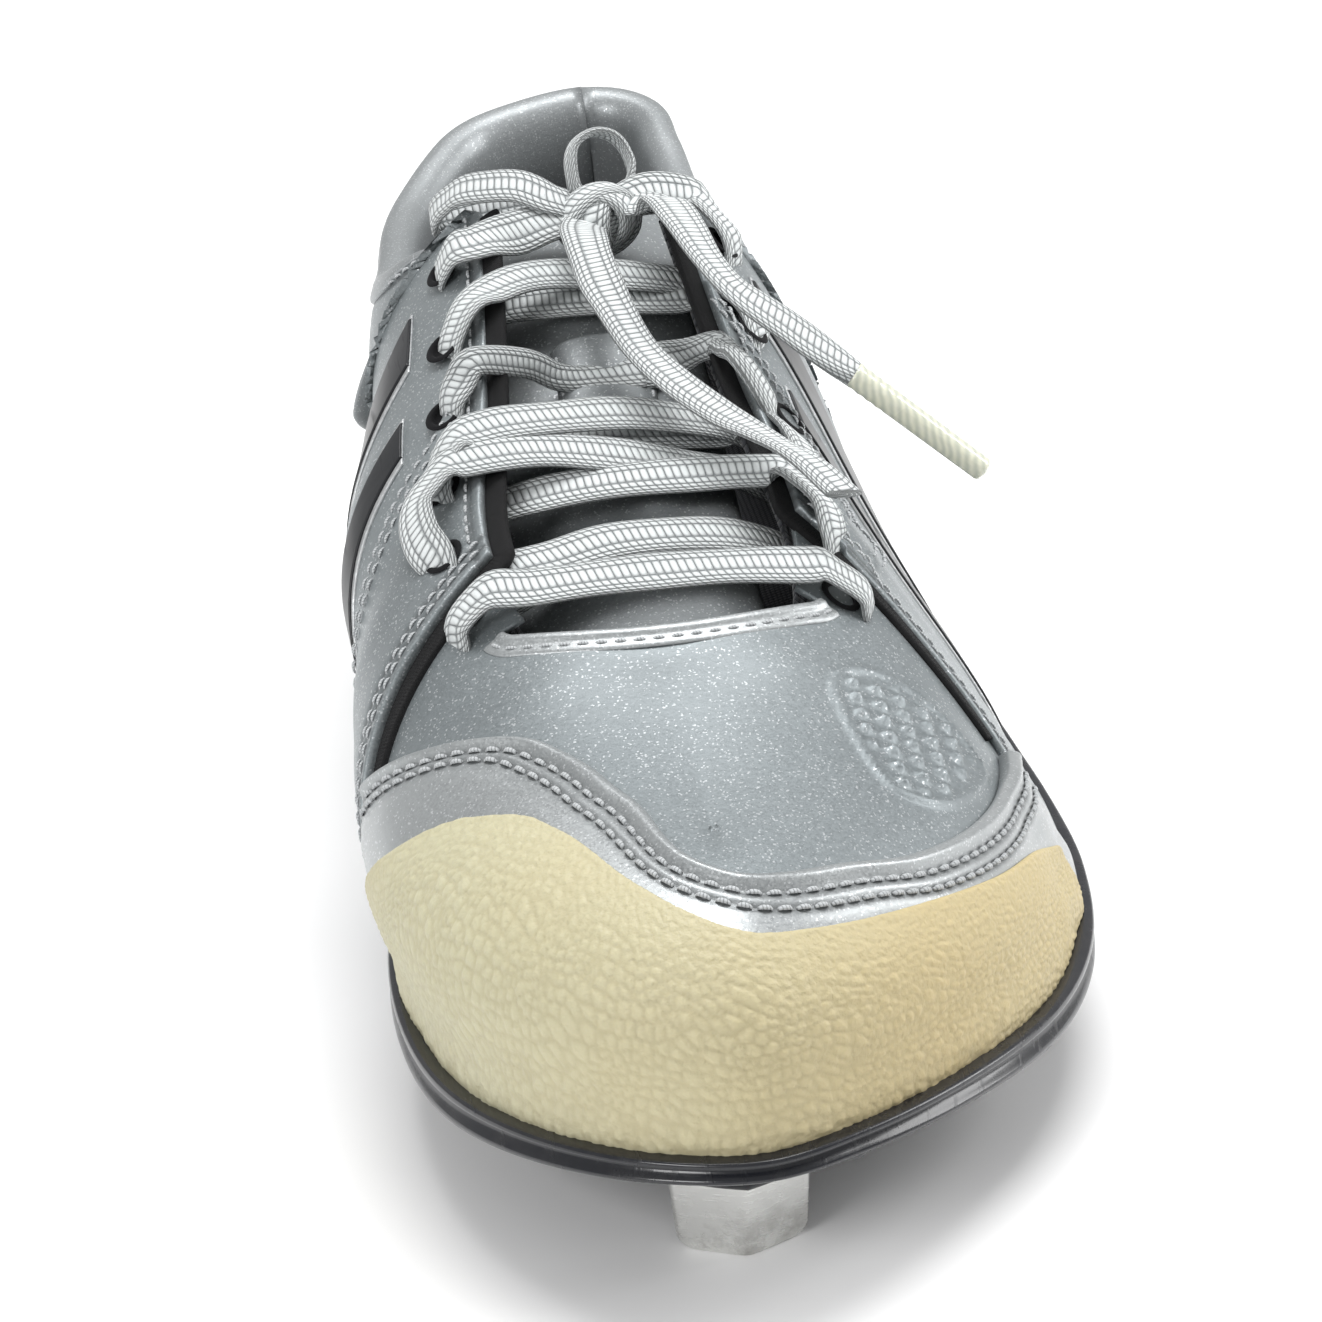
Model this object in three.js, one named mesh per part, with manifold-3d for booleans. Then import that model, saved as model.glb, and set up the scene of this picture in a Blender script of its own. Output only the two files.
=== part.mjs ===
// Left shoe of a pair of low-cut baseball spikes: a moulded outsole with seven metal blades,
// a layered synthetic upper with a pebbled toe guard, and flat laces tied in a knot.
//
// Millimetres, +Z up. The blade tips stand on z = 0, the toe points to -Y, and the medial side is -X.
// A place on the shoe is given as s, the distance forward from the heel end, x to the lateral side,
// and z. The upper is a skin over the last: u runs round the sole edge from the heel (0), along the
// lateral side to the toe (1) and back along the medial side (2), and h runs from the sole edge (0)
// to the ridge over the instep (1).
import * as THREE from 'three';
import { mergeVertices } from 'three/addons/utils/BufferGeometryUtils.js';
import Module from 'manifold-3d';

const wasm = await Module();
wasm.setup();

// ---- Driving dimensions -------------------------------------------------------------------------
const LENGTH = 291.5;
const CENTRE_X = -1.88;              // moves the outline so that its box is centred on x = 0
const GAP = 0.3;                    // clearance between pieces that touch
const FEATHER_INSET = 5;            // from the sole edge to the foot of the upper
const HEEL_SEAM = 0.002;            // half the gap at the back seam, as a part of u
const SKIN_LIFT = 1.6;              // the foot of the upper stands this far above the sole's rim
const RIM_WIDTH = 8;
const PLATE_FLOOR = 3.5;
const BLADE_THICKNESS = 2.2;
const LACE_WIDTH = 8;
const LACE_THICKNESS = 1.1;
const STRAND_GAP = 2.0;             // between crossing strands
const CORD_DIAMETER = 5;            // a free lace end, taken as a round cord of the lace's section
const AGLET_LENGTH = 25;
const AGLET_DIAMETER = 4.4;
const THROAT_FRONT = 207;           // front edge of the lace opening
const COLLAR_FRONT = 104;           // top front corner of the collar
const LACE_ROWS = 6;
const BAR_STATION = 196;
const FIRST_ROW = 190;
const LAST_ROW = 115;
const ROW_OFFSET = 3.9;             // strands pass each eyelet row this far before and behind it

// Layers of the upper, as distances outward from the skin.
const LINING = [-6.1, -5.0];
const STIFFENER = [-4.2, -3.2];
const COLLAR_FOAM = [-4.2, -1.8];
const VAMP = [-2.7, -1.7];
const QUARTER = [-1.2, 0];
const OVERLAY = [0.6, 1.4];
const GUARD = [2.0, 2.8];
const BAND = [0.6, 1.2];

// Sole outline: [s, x] along the lateral side, then back along the medial side.
const LATERAL_EDGE = [[0, 6], [4, 22], [14, 34], [40, 42.5], [75, 42], [106, 41], [130, 44],
  [154, 49], [185, 52], [205, 52], [228, 48], [251, 37.5], [272, 20.5], [285, 5]];
const MEDIAL_EDGE = [[291.5, -9], [287, -24], [275, -37], [255, -47.5], [228, -52.5], [200, -51.5],
  [175, -45], [154, -37], [130, -27.5], [106, -23.5], [75, -26], [40, -29.5], [14, -21], [4, -8]];

// Heights and widths along the shoe: [s, value].
const soleBottom = smoothTable([[0, 13], [60, 13], [120, 20], [170, 14], [230, 13.5], [292, 22]]);
const soleTop = smoothTable([[0, 27], [60, 25], [120, 27], [170, 22], [230, 20], [292, 26]]);
const ridgeHeight = smoothTable([[0, 131], [60, 116], [115, 101], [150, 88], [190, 75.5],
  [215, 66.5], [240, 60], [258, 57]]);
const ridgeX = smoothTable([[0, 5], [60, -4], [115, -7], [150, -7.5], [190, -8], [258, -9]]);
const medialBulge = smoothTable([[0, 4], [20, 6], [60, 16], [100, 25], [140, 26], [175, 15],
  [210, 9.5], [245, 7], [292, 3]]);
const lateralBulge = smoothTable([[0, 3], [20, -7], [45, -10.5], [70, -9.5], [92, -3.3], [112, -0.8], [130, -3.5],
  [156, -6.5], [180, -5.5], [210, -2], [245, 2], [292, 3]]);
const collarHeight = smoothTable([[-10, 88.5], [5, 87.5], [18, 85], [45, 78.5], [72, 77.5],
  [92, 84.5], [COLLAR_FRONT, 94]]);
const throatHalf = smoothTable([[90, 15], [110, 16], [150, 19.5], [180, 23], [196, 21.5],
  [THROAT_FRONT, 17]]);
const tongueTop = smoothTable([[86, 94], [102, 90], [120, 85.5], [150, 75], [180, 65.5], [212, 56]]);

// ---- Small tools --------------------------------------------------------------------------------

/** Monotone cubic through [s, value] points, held constant past both ends. */
function smoothTable(points) {
  const last = points.length - 1;
  const rise = [];
  for (let i = 0; i < last; i++) {
    rise.push((points[i + 1][1] - points[i][1]) / (points[i + 1][0] - points[i][0]));
  }
  const slope = points.map((p, i) => {
    if (i === 0) return rise[0];
    if (i === last) return rise[last - 1];
    const product = rise[i - 1] * rise[i];
    return product > 0 ? 2 * product / (rise[i - 1] + rise[i]) : 0;
  });
  return (s) => {
    if (s <= points[0][0]) return points[0][1];
    if (s >= points[last][0]) return points[last][1];
    let i = 0;
    while (s > points[i + 1][0]) i++;
    const width = points[i + 1][0] - points[i][0];
    const t = (s - points[i][0]) / width;
    return (1 + 2 * t) * (1 - t) ** 2 * points[i][1] + t * (1 - t) ** 2 * width * slope[i]
      + t * t * (3 - 2 * t) * points[i + 1][1] + t * t * (t - 1) * width * slope[i + 1];
  };
}

/** The frame's point for a place on the shoe. */
function place(s, x, z) {
  return new THREE.Vector3(x - CENTRE_X, LENGTH / 2 - s, z);
}

/** Value in [low, high] where a test turns from false to true. */
function bisect(test, low, high) {
  for (let i = 0; i < 40; i++) {
    const middle = (low + high) / 2;
    if (test(middle)) high = middle;
    else low = middle;
  }
  return (low + high) / 2;
}

/** Evenly spaced numbers from a to b, both included. */
function spread(a, b, steps) {
  return Array.from({ length: steps + 1 }, (_, i) => a + (b - a) * i / steps);
}

/** Closed geometry from points and triangles, turned so that its faces point outward. */
function closedGeometry(points, triangles) {
  let volume = 0;
  for (let i = 0; i < triangles.length; i += 3) {
    const [a, b, c] = [0, 1, 2].map((k) => points[triangles[i + k]]);
    volume += a.dot(new THREE.Vector3().crossVectors(b, c));
  }
  const geometry = new THREE.BufferGeometry().setFromPoints(points);
  geometry.setIndex(volume < 0 ? triangles.slice().reverse() : triangles);
  return geometry;
}

/** Manifold solid of a closed geometry. */
function solid(geometry) {
  const bare = geometry.clone();
  bare.deleteAttribute('normal');
  bare.deleteAttribute('uv');
  const merged = mergeVertices(bare, 1e-4);
  return new wasm.Manifold(new wasm.Mesh({
    numProp: 3,
    vertProperties: new Float32Array(merged.attributes.position.array),
    triVerts: new Uint32Array(merged.index.array),
  }));
}

/** Geometry of a manifold solid. */
function fromSolid(body) {
  const mesh = body.getMesh();
  const geometry = new THREE.BufferGeometry();
  geometry.setAttribute('position', new THREE.BufferAttribute(mesh.vertProperties, 3));
  geometry.setIndex(new THREE.BufferAttribute(mesh.triVerts, 1));
  return geometry;
}

// ---- The skin of the upper ----------------------------------------------------------------------

const edgeCurve = new THREE.CatmullRomCurve3(
  [...LATERAL_EDGE, ...MEDIAL_EDGE].map(([s, x]) => new THREE.Vector3(s, x, 0)), true, 'centripetal');
const EDGE_SAMPLES = 400;

/** Points spaced evenly along one side of the sole edge, from the heel to the toe. */
function sampleSide(from, to) {
  const raw = spread(from, to, EDGE_SAMPLES).map((t) => edgeCurve.getPoint(t));
  const run = [0];
  for (let i = 1; i < raw.length; i++) run.push(run[i - 1] + raw[i].distanceTo(raw[i - 1]));
  return (f) => {
    const target = f * run[run.length - 1];
    let i = 1;
    while (i < raw.length - 1 && run[i] < target) i++;
    return raw[i - 1].clone().lerp(raw[i], (target - run[i - 1]) / (run[i] - run[i - 1]));
  };
}
const lateralSide = sampleSide(0, 0.5);
const medialSide = sampleSide(1, 0.5);

/** Sole edge at u, moved inward. */
function edgeAt(u, inset) {
  const walk = (v) => {
    const w = (v + 2) % 2;
    return w <= 1 ? lateralSide(w) : medialSide(2 - w);
  };
  const p = walk(u);
  const along = walk(u + 0.004).sub(walk(u - 0.004)).normalize();
  return { s: p.x + along.y * inset, x: p.y - along.x * inset };
}

/** Ridge station that belongs to a place s on the edge: fanned in at the heel and the toe. */
function ridgeStation(s) {
  if (s > 200) return 200 + (s - 200) * (1 - 0.4 * (s - 200) / 91.5);
  if (s < 70) return s + 0.45 * (70 - s) ** 2 / 70;
  return s;
}

/** Mean place of the two sides at u, which their columns share on the ridge. */
function meanStation(u) {
  const f = u <= 1 ? u : 2 - u;
  return (edgeAt(f, FEATHER_INSET).s + edgeAt(2 - f, FEATHER_INSET).s) / 2;
}

/** How far u belongs to the medial side: 0 lateral, 1 medial, one half at the heel and toe centres. */
function medialShare(u) {
  const ease = THREE.MathUtils.smoothstep;
  if (u < 0.5) return 0.5 - 0.5 * ease(u, 0, 0.12);
  if (u > 1.5) return 1 - 0.5 * ease(u, 1.88, 2);
  return ease(u, 0.8, 1.2);
}

/** Point of the skin as { s, x, z }. */
function skin(u, h) {
  const foot = edgeAt(u, FEATHER_INSET);
  const station = ridgeStation(meanStation(u));
  const base = soleTop(foot.s) + SKIN_LIFT;
  const share = medialShare(u);
  const phi = h * Math.PI / 2;
  const toe = THREE.MathUtils.clamp((foot.s - 150) / 100, 0, 1);
  const reach = Math.hypot(foot.s - station, foot.x - ridgeX(station));
  const bulge = THREE.MathUtils.lerp(lateralBulge(foot.s), medialBulge(foot.s), share);
  const wave = Math.max(Math.sin(Math.PI * h * (1.55 - 0.55 * h)), 0);
  const inward = 1 - Math.max(Math.cos(phi), 0) ** (1 - 0.3 * toe * share)
    - bulge / reach * (bulge < 0 ? wave ** 2 : wave);
  const upward = Math.sin(phi) ** (1 - 0.15 * toe * share);
  return {
    s: foot.s + (station - foot.s) * inward,
    x: foot.x + (ridgeX(station) - foot.x) * inward,
    z: base + (ridgeHeight(station) - base) * upward,
  };
}

/** The u of a side whose mean station is s. */
function uAt(side, s) {
  const f = bisect((v) => meanStation(v) > s, 0, 1);
  return side === 'lateral' ? f : 2 - f;
}

/** Whether a point of the skin lies in the collar or the lace opening. */
function inOpening(p) {
  if (p.s < COLLAR_FRONT && p.z > collarHeight(p.s)) return true;
  return p.s < THROAT_FRONT && p.s > COLLAR_FRONT - 20
    && Math.abs(p.x - ridgeX(p.s)) < throatHalf(p.s);
}

const THROAT_U = uAt('lateral', THROAT_FRONT);
const edgeCache = new Map();

/** Height h at which the column at u meets the opening's edge. */
function openingEdge(u) {
  const f = Math.min(u <= 1 ? u : 2 - u, THROAT_U - 0.001);
  const v = u <= 1 ? f : 2 - f;
  const key = v.toFixed(6);
  if (!edgeCache.has(key)) edgeCache.set(key, bisect((h) => inOpening(skin(v, h)), 0.1, 1));
  return edgeCache.get(key);
}

/** Height h at which the column at u reaches z. */
function heightAt(u, z) {
  return bisect((h) => skin(u, h).z > z, 0, 1);
}

/**
 * Closed body from a grid of { s, x, z } points: the cells that keep() accepts, given thickness
 * along the welded surface's own normals, from inner to outer.
 */
function thicken(grid, inner, outer, keep = () => true) {
  const width = grid[0].length;
  const cells = [];
  for (let i = 0; i + 1 < grid.length; i++) {
    for (let j = 0; j + 1 < width; j++) {
      const a = i * width + j;
      if (keep(i, j)) cells.push(a, a + 1, a + width + 1, a, a + width + 1, a + width);
    }
  }
  let base = new THREE.BufferGeometry().setFromPoints(grid.flat().map((p) => place(p.s, p.x, p.z)));
  base.setIndex(cells);
  base = mergeVertices(base, 1e-3);
  const index = [];
  for (let i = 0; i < base.index.count; i += 3) {
    const face = [0, 1, 2].map((k) => base.index.getX(i + k));
    if (new Set(face).size === 3) index.push(...face);
  }
  base.setIndex(index);
  base.computeVertexNormals();
  const count = base.attributes.position.count;
  const points = [];
  for (const offset of [outer, inner]) {
    for (let i = 0; i < count; i++) {
      const normal = new THREE.Vector3().fromBufferAttribute(base.attributes.normal, i);
      points.push(new THREE.Vector3().fromBufferAttribute(base.attributes.position, i)
        .addScaledVector(normal, offset));
    }
  }
  const directed = new Set();
  const triangles = [];
  for (let i = 0; i < index.length; i += 3) {
    const [a, b, c] = index.slice(i, i + 3);
    triangles.push(a, b, c, c + count, b + count, a + count);
    for (const [p, q] of [[a, b], [b, c], [c, a]]) directed.add(`${p},${q}`);
  }
  for (const edge of directed) {
    const [a, b] = edge.split(',').map(Number);
    if (!directed.has(`${b},${a}`)) triangles.push(b, a, a + count, b, a + count, b + count);
  }
  return closedGeometry(points, triangles);
}

// Columns of the upper's common lattice: closer together round the heel and the toe.
const HALF_COLUMNS = [...spread(0, 0.2, 8).slice(0, -1), ...spread(0.2, THROAT_U, 11).slice(0, -1),
  ...spread(THROAT_U, 1, 11)];
const RING = [...HALF_COLUMNS, ...HALF_COLUMNS.slice(0, -1).reverse().map((f) => 2 - f)];
const LOW_LEVELS = 8;
const TOP_LEVELS = 3;

/** Heights of a column: up to the opening's edge, then on to the ridge. */
function columnLevels(u) {
  const edge = openingEdge(u);
  const low = spread(0, 1, LOW_LEVELS).map((t) => edge * t ** 1.15);
  return [...low, ...spread(edge, 1, TOP_LEVELS).slice(1)];
}

/** Part of the lattice between two columns and two levels, as a closed body. */
function latticePanel(columns, lowLevel, highLevel, [inner, outer]) {
  const grid = columns.map((u) => columnLevels(u).map((h) => skin(u, h)));
  const inFront = (i) => [columns[i], columns[i + 1]].every((u) => Math.abs(u - 1) <= 1 - THROAT_U + 1e-9);
  return thicken(grid, inner, outer, (i, j) => j >= lowLevel && j < highLevel
    && (j < LOW_LEVELS || inFront(i)));
}

/** Patch of the skin given by a map from (i, j) in 0..1 to [u, h]. */
function patch(map, columns, levels, [inner, outer]) {
  const grid = spread(0, 1, columns).map((a) => spread(0, 1, levels).map((b) => skin(...map(a, b))));
  return thicken(grid, inner, outer);
}

// ---- Outsole ------------------------------------------------------------------------------------

/** Ring round the sole at an inset, with a height for each point. */
function soleRing(inset, height) {
  return RING.slice(0, -1).map((u) => {
    const p = edgeAt(u, inset);
    return place(p.s, p.x, height(p.s));
  });
}

/** Body lofted through rings of equal count, closed at both ends by strips from side to side. */
function loft(rings) {
  const count = rings[0].length;
  const points = rings.flat();
  const triangles = [];
  for (let r = 0; r + 1 < rings.length; r++) {
    for (let i = 0; i < count; i++) {
      const j = (i + 1) % count;
      const [a, b, c, d] = [r * count + i, r * count + j, (r + 1) * count + j, (r + 1) * count + i];
      triangles.push(a, b, c, a, c, d);
    }
  }
  const cap = (start, turned) => {
    for (let i = 0; i < count / 2; i++) {
      const j = (count - i) % count;
      const [a, b, c, d] = [i, i + 1, (j - 1 + count) % count, j].map((k) => start + k);
      for (const face of [[a, b, c], [a, c, d]]) {
        if (new Set(face).size === 3) triangles.push(...(turned ? face : face.reverse()));
      }
    }
  };
  cap(0, false);
  cap((rings.length - 1) * count, true);
  return closedGeometry(points, triangles);
}

/** Block lying on the sole, its long side turned by angle in the ground plane. */
function soleBlock(s, x, length, width, depth, angle) {
  const block = new THREE.BoxGeometry(length, width, depth * 2);
  block.rotateZ(angle);
  const centre = place(s, x, soleBottom(s));
  return block.translate(centre.x, centre.y, centre.z);
}

// Rows of traction lugs near the edge: [s, x, count, direction of the row in degrees].
const LUG_ROWS = [[263, 13, 2, 125], [201, 43.5, 3, 92], [142, 37, 4, 72], [254, -34, 2, 55],
  [194, -41.5, 3, 80], [141, -22, 4, 117]];
const LUG_PITCH = 6.5;
const LUG_SIZE = [6, 3.4, 2.4];

/** Moulded plate: a tray with a rim, and traction lugs under its edge. */
function outsolePlate() {
  const floor = (s) => soleBottom(s) + PLATE_FLOOR;
  const plate = loft([
    soleRing(3, soleBottom),
    soleRing(0, (s) => soleBottom(s) + 4),
    soleRing(0, soleTop),
    soleRing(RIM_WIDTH, soleTop),
    soleRing(RIM_WIDTH, floor),
  ]);
  let body = solid(plate);
  for (const [s, x, count, degrees] of LUG_ROWS) {
    const row = THREE.MathUtils.degToRad(degrees);
    for (let k = 0; k < count; k++) {
      const step = (k - (count - 1) / 2) * LUG_PITCH;
      const lug = soleBlock(s - step * Math.sin(row), x + step * Math.cos(row), ...LUG_SIZE, row + Math.PI / 2);
      body = body.add(solid(lug));
    }
  }
  return fromSolid(body);
}

// Spikes: name, place of the seat, the way its blade faces (degrees, 0 = lateral, 90 = heelward).
const SPIKES = [
  ['toe', 263, -10, -90], ['forefoot_lateral', 225, 22, -50], ['forefoot_medial', 224, -26, -115],
  ['ball_lateral', 172, 32, 50], ['ball_medial', 169, -17, 120],
  ['heel_lateral', 35, 25.5, 45], ['heel_medial', 40, -11, 135],
];
const FRONT_SEAT_RADIUS = 14;
const HEEL_SEAT_RADIUS = 12;
const HEEL_END = 100;               // spikes behind this station are heel spikes
const SEAT_DROP = 5.5;
const FRONT_BLADE_WIDTH = 20;
const HEEL_BLADE_WIDTH = 16;

/** Hexagonal seat under the plate, its top cut to the plate's underside. */
function spikeSeat(plate, s, x, facing) {
  const points = [];
  const sides = 6;
  const low = soleBottom(s) - SEAT_DROP;
  const size = s > HEEL_END ? FRONT_SEAT_RADIUS : HEEL_SEAT_RADIUS;
  for (const [radius, top] of [[size, true], [size - 2.5, false]]) {
    for (let k = 0; k < sides; k++) {
      const angle = facing + k * Math.PI / 3;
      const [ps, px] = [s - radius * Math.sin(angle), x + radius * Math.cos(angle)];
      points.push(place(ps, px, top ? soleBottom(ps) + PLATE_FLOOR / 2 : low));
    }
  }
  const triangles = [];
  for (let k = 0; k < sides; k++) {
    const n = (k + 1) % sides;
    triangles.push(k, n, n + sides, k, n + sides, k + sides);
  }
  for (let k = 1; k + 1 < sides; k++) triangles.push(0, k + 1, k, sides, sides + k, sides + k + 1);
  const block = solid(closedGeometry(points, triangles));
  return fromSolid(block.subtract(solid(plate).translate(0, 0, -GAP)));
}

/** Steel blade under the outer side of a seat: bent in plan at the front, straight at the heel. */
function spikeBlade(s, x, facing) {
  const front = s > HEEL_END;
  const bend = front ? 5 : 0;
  const radius = (front ? FRONT_SEAT_RADIUS : HEEL_SEAT_RADIUS) - 5;
  const outline = new THREE.Shape();
  const half = (front ? FRONT_BLADE_WIDTH : HEEL_BLADE_WIDTH) / 2;
  const back = radius - BLADE_THICKNESS;
  outline.moveTo(radius - bend, -half);
  outline.lineTo(radius, 0);
  outline.lineTo(radius - bend, half);
  outline.lineTo(back - bend, half);
  outline.lineTo(back, 0);
  outline.lineTo(back - bend, -half);
  outline.closePath();
  const height = soleBottom(s) - SEAT_DROP - GAP;
  const blade = new THREE.ExtrudeGeometry(outline, { depth: height, bevelEnabled: false });
  blade.rotateZ(facing);
  const foot = place(s, x, 0);
  return blade.translate(foot.x, foot.y, 0);
}

// ---- Inside the shoe ----------------------------------------------------------------------------

const boardTop = (s) => soleTop(s) - 0.5;
const wedgeRise = smoothTable([[0, 4.3], [60, 3.3], [105, 0.9]]);
const sockRise = smoothTable([[0, 4.9], [60, 3.9], [108, 1.6], [120, 0.4]]);
const BED_INSET = 14;
const SHANK_RANGE = [72, 165];
const SHANK_HALF_WIDTH = 13;
const SHANK_THICKNESS = 1.4;

/** Strip along the sole's floor between two stations. */
function shank(grow) {
  const middle = (s) => ridgeX(s) + 14;
  const grid = spread(SHANK_RANGE[0] - grow, SHANK_RANGE[1] + grow, 10).map((s) => [-1, 1].map((side) => ({
    s, x: middle(s) - side * (SHANK_HALF_WIDTH + grow), z: soleBottom(s) + PLATE_FLOOR + GAP,
  })));
  return thicken(grid, -grow, SHANK_THICKNESS + grow);
}

/** Fibre board that fills the plate's tray, recessed for the shank. */
function lastingBoard() {
  const inset = RIM_WIDTH + 0.6;
  const board = loft([
    soleRing(inset, (s) => soleBottom(s) + PLATE_FLOOR + GAP),
    soleRing(inset, boardTop),
  ]);
  return fromSolid(solid(board).subtract(solid(shank(GAP))));
}

/** Foam wedge under the heel, thinning towards the waist. */
function heelWedge() {
  const grid = [14, 22, 34, 50, 68, 86, 103].map((s) => {
    const lateral = bisect((v) => meanStation(v) > s, 0, 1);
    const pair = [edgeAt(lateral, BED_INSET), edgeAt(2 - lateral, BED_INSET)];
    return pair.map((p) => ({ s: p.s, x: p.x }));
  });
  const level = (p, rise) => place(p.s, p.x, boardTop(p.s) + rise);
  const points = [...grid.flat().map((p) => level(p, GAP)), ...grid.flat().map((p) => level(p, wedgeRise(p.s)))];
  const count = grid.length * 2;
  const triangles = [];
  for (let i = 0; i + 1 < grid.length; i++) {
    const [a, b, c, d] = [2 * i, 2 * i + 1, 2 * i + 3, 2 * i + 2];
    triangles.push(a, b, c, a, c, d, c + count, b + count, a + count, d + count, c + count, a + count);
    triangles.push(b, b + count, c + count, b, c + count, c);
    triangles.push(a, d, d + count, a, d + count, a + count);
  }
  const e = count - 2;
  triangles.push(0, count, count + 1, 0, count + 1, 1);
  triangles.push(e, e + 1, e + 1 + count, e, e + 1 + count, e + count);
  return closedGeometry(points, triangles);
}

/** Removable footbed. */
function sockliner() {
  return loft([
    soleRing(BED_INSET, (s) => boardTop(s) + sockRise(s)),
    soleRing(BED_INSET, (s) => boardTop(s) + sockRise(s) + 3),
  ]);
}

// ---- Tongue and laces ---------------------------------------------------------------------------

const TONGUE = { back: 88, front: 212, medialHalf: 20, lateralHalf: 17, archRadius: 30, thickness: 3.2 };

/** Top of the tongue at a place on the shoe. */
function tonguePoint(s, x) {
  const across = x - ridgeX(s);
  return { s, x, z: tongueTop(s) - across * across / (2 * TONGUE.archRadius) };
}

/** Arched tongue under the lace opening. */
function tongue() {
  const grid = spread(TONGUE.back, TONGUE.front, 12).map((s) => {
    const taper = THREE.MathUtils.clamp((s - TONGUE.back) / 8 + 0.7, 0, 1);
    return spread(TONGUE.lateralHalf * taper, -TONGUE.medialHalf * taper, 8)
      .map((across) => tonguePoint(s, ridgeX(s) + across));
  });
  return thicken(grid, -TONGUE.thickness, 0);
}

/** Keeper strap on the tongue, which the laces pass under. */
function tongueLoop() {
  const grid = [130, 137, 144].map((s) => spread(7.5, -7.5, 4)
    .map((across) => tonguePoint(s, ridgeX(s) + across)));
  return thicken(grid, GAP, GAP + 0.9);
}

const INSTEP_UP = new THREE.Vector3(0, -0.37, 0.93).normalize();

/** Closed flat ribbon along a list of points, with its broad side on the slope of the instep. */
function ribbon(points, width, thickness) {
  const curve = new THREE.CatmullRomCurve3(points);
  const samples = spread(0, 1, 10).map((t) => ({ p: curve.getPoint(t), t: curve.getTangent(t) }));
  const corners = [];
  for (const { p, t } of samples) {
    const side = new THREE.Vector3().crossVectors(t, INSTEP_UP).normalize();
    const up = new THREE.Vector3().crossVectors(side, t);
    for (const [a, b] of [[-1, 0], [1, 0], [1, 1], [-1, 1]]) {
      corners.push(p.clone().addScaledVector(side, a * width / 2).addScaledVector(up, b * thickness));
    }
  }
  const triangles = [];
  for (let i = 0; i + 1 < samples.length; i++) {
    for (let k = 0; k < 4; k++) {
      const [a, b] = [4 * i + k, 4 * i + (k + 1) % 4];
      triangles.push(a, b, b + 4, a, b + 4, a + 4);
    }
  }
  const e = 4 * (samples.length - 1);
  triangles.push(0, 2, 1, 0, 3, 2, e, e + 1, e + 2, e, e + 2, e + 3);
  return closedGeometry(corners, triangles);
}

const rowStation = (row) => FIRST_ROW + (LAST_ROW - FIRST_ROW) * (row - 1) / (LACE_ROWS - 1);
const EYELET_MARGIN = 7;            // from the opening's edge to an eyelet, along the skin

/** Frame point over the skin on one side, back from the opening's edge by a distance. */
function besideThroat(side, s, margin, lift) {
  const u = uAt(side, s);
  const edge = openingEdge(u);
  const reach = skin(u, edge);
  const h = bisect((v) => {
    const p = skin(u, v);
    return Math.hypot(p.x - reach.x, p.z - reach.z) < margin;
  }, 0.05, edge);
  const [p, above, ahead] = [skin(u, h), skin(u, h + 0.01), skin(u + 0.01, h)].map((q) => place(q.s, q.x, q.z));
  const normal = new THREE.Vector3().crossVectors(above.sub(p), ahead.sub(p)).normalize();
  return p.addScaledVector(normal, lift);
}

/** Lace strand from the medial station a to the lateral station b, its middle raised by arch. */
function laceStrand(a, b, lift, arch = 0) {
  const middle = (a + b) / 2;
  return ribbon([
    besideThroat('medial', a, EYELET_MARGIN, 1.6 + lift),
    besideThroat('medial', a + (b - a) * 0.12, 0.5, 2.2 + lift),
    place(middle, ridgeX(middle), tongueTop(middle)).addScaledVector(INSTEP_UP, 2.6 + lift + arch),
    besideThroat('lateral', b + (a - b) * 0.12, 0.5, 2.2 + lift),
    besideThroat('lateral', b, EYELET_MARGIN, 1.6 + lift),
  ], LACE_WIDTH - 1, LACE_THICKNESS);
}

const KNOT = [108, -3.5, 95.8];
const KNOT_RADII = [6.5, 5.5, 5];

/** Strand from the last eyelet row of one side to the knot. */
function laceTie(side) {
  const across = side === 'lateral' ? 1 : -1;
  const outer = LAST_ROW - ROW_OFFSET;
  return ribbon([
    besideThroat(side, outer, EYELET_MARGIN, 1.6),
    besideThroat(side, outer - 0.5, 0.5, 2.2),
    place(KNOT[0] + 1, KNOT[1] + across * (KNOT_RADII[0] + 1.2), KNOT[2] - 1),
  ], LACE_WIDTH - 1, LACE_THICKNESS);
}

// Routes of the free lace pieces, from the knot outward, as [s, x, z].
const END_LATERAL = [[113, 5, 99.2], [119, 6, 101.5], [129, 7.5, 100.8], [138, 9.5, 98], [145, 13, 94.6],
  [149, 20.5, 89], [152, 30, 81]];
const END_FRONT = [[114, -6.5, 97], [124, -7.5, 98], [134, -7, 95.6], [142, -5.5, 92.4], [151, -3, 89],
  [160, 1, 86.4], [168, 6.5, 83.6], [177, 12, 82.2], [186, 16.5, 81.4], [193, 20.5, 78.6]];
const LOOP_MEDIAL = [[107, -11.5, 99.5], [105, -17, 101], [102, -25, 102], [97, -33, 99.5], [93, -36, 97],
  [91, -31, 96], [94, -22, 97.5], [100, -13.5, 97.5]];
const LOOP_REAR = [[102.5, -6.5, 99.5], [99, -6.5, 103.5], [95, -3.5, 106.5], [94, 0.5, 106], [96, 3, 102.5],
  [100.5, 2.5, 99]];

/** Body of the knot. */
function laceKnot() {
  const middle = place(...KNOT);
  return new THREE.SphereGeometry(1, 12, 8).scale(...KNOT_RADII).translate(middle.x, middle.y, middle.z);
}

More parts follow.
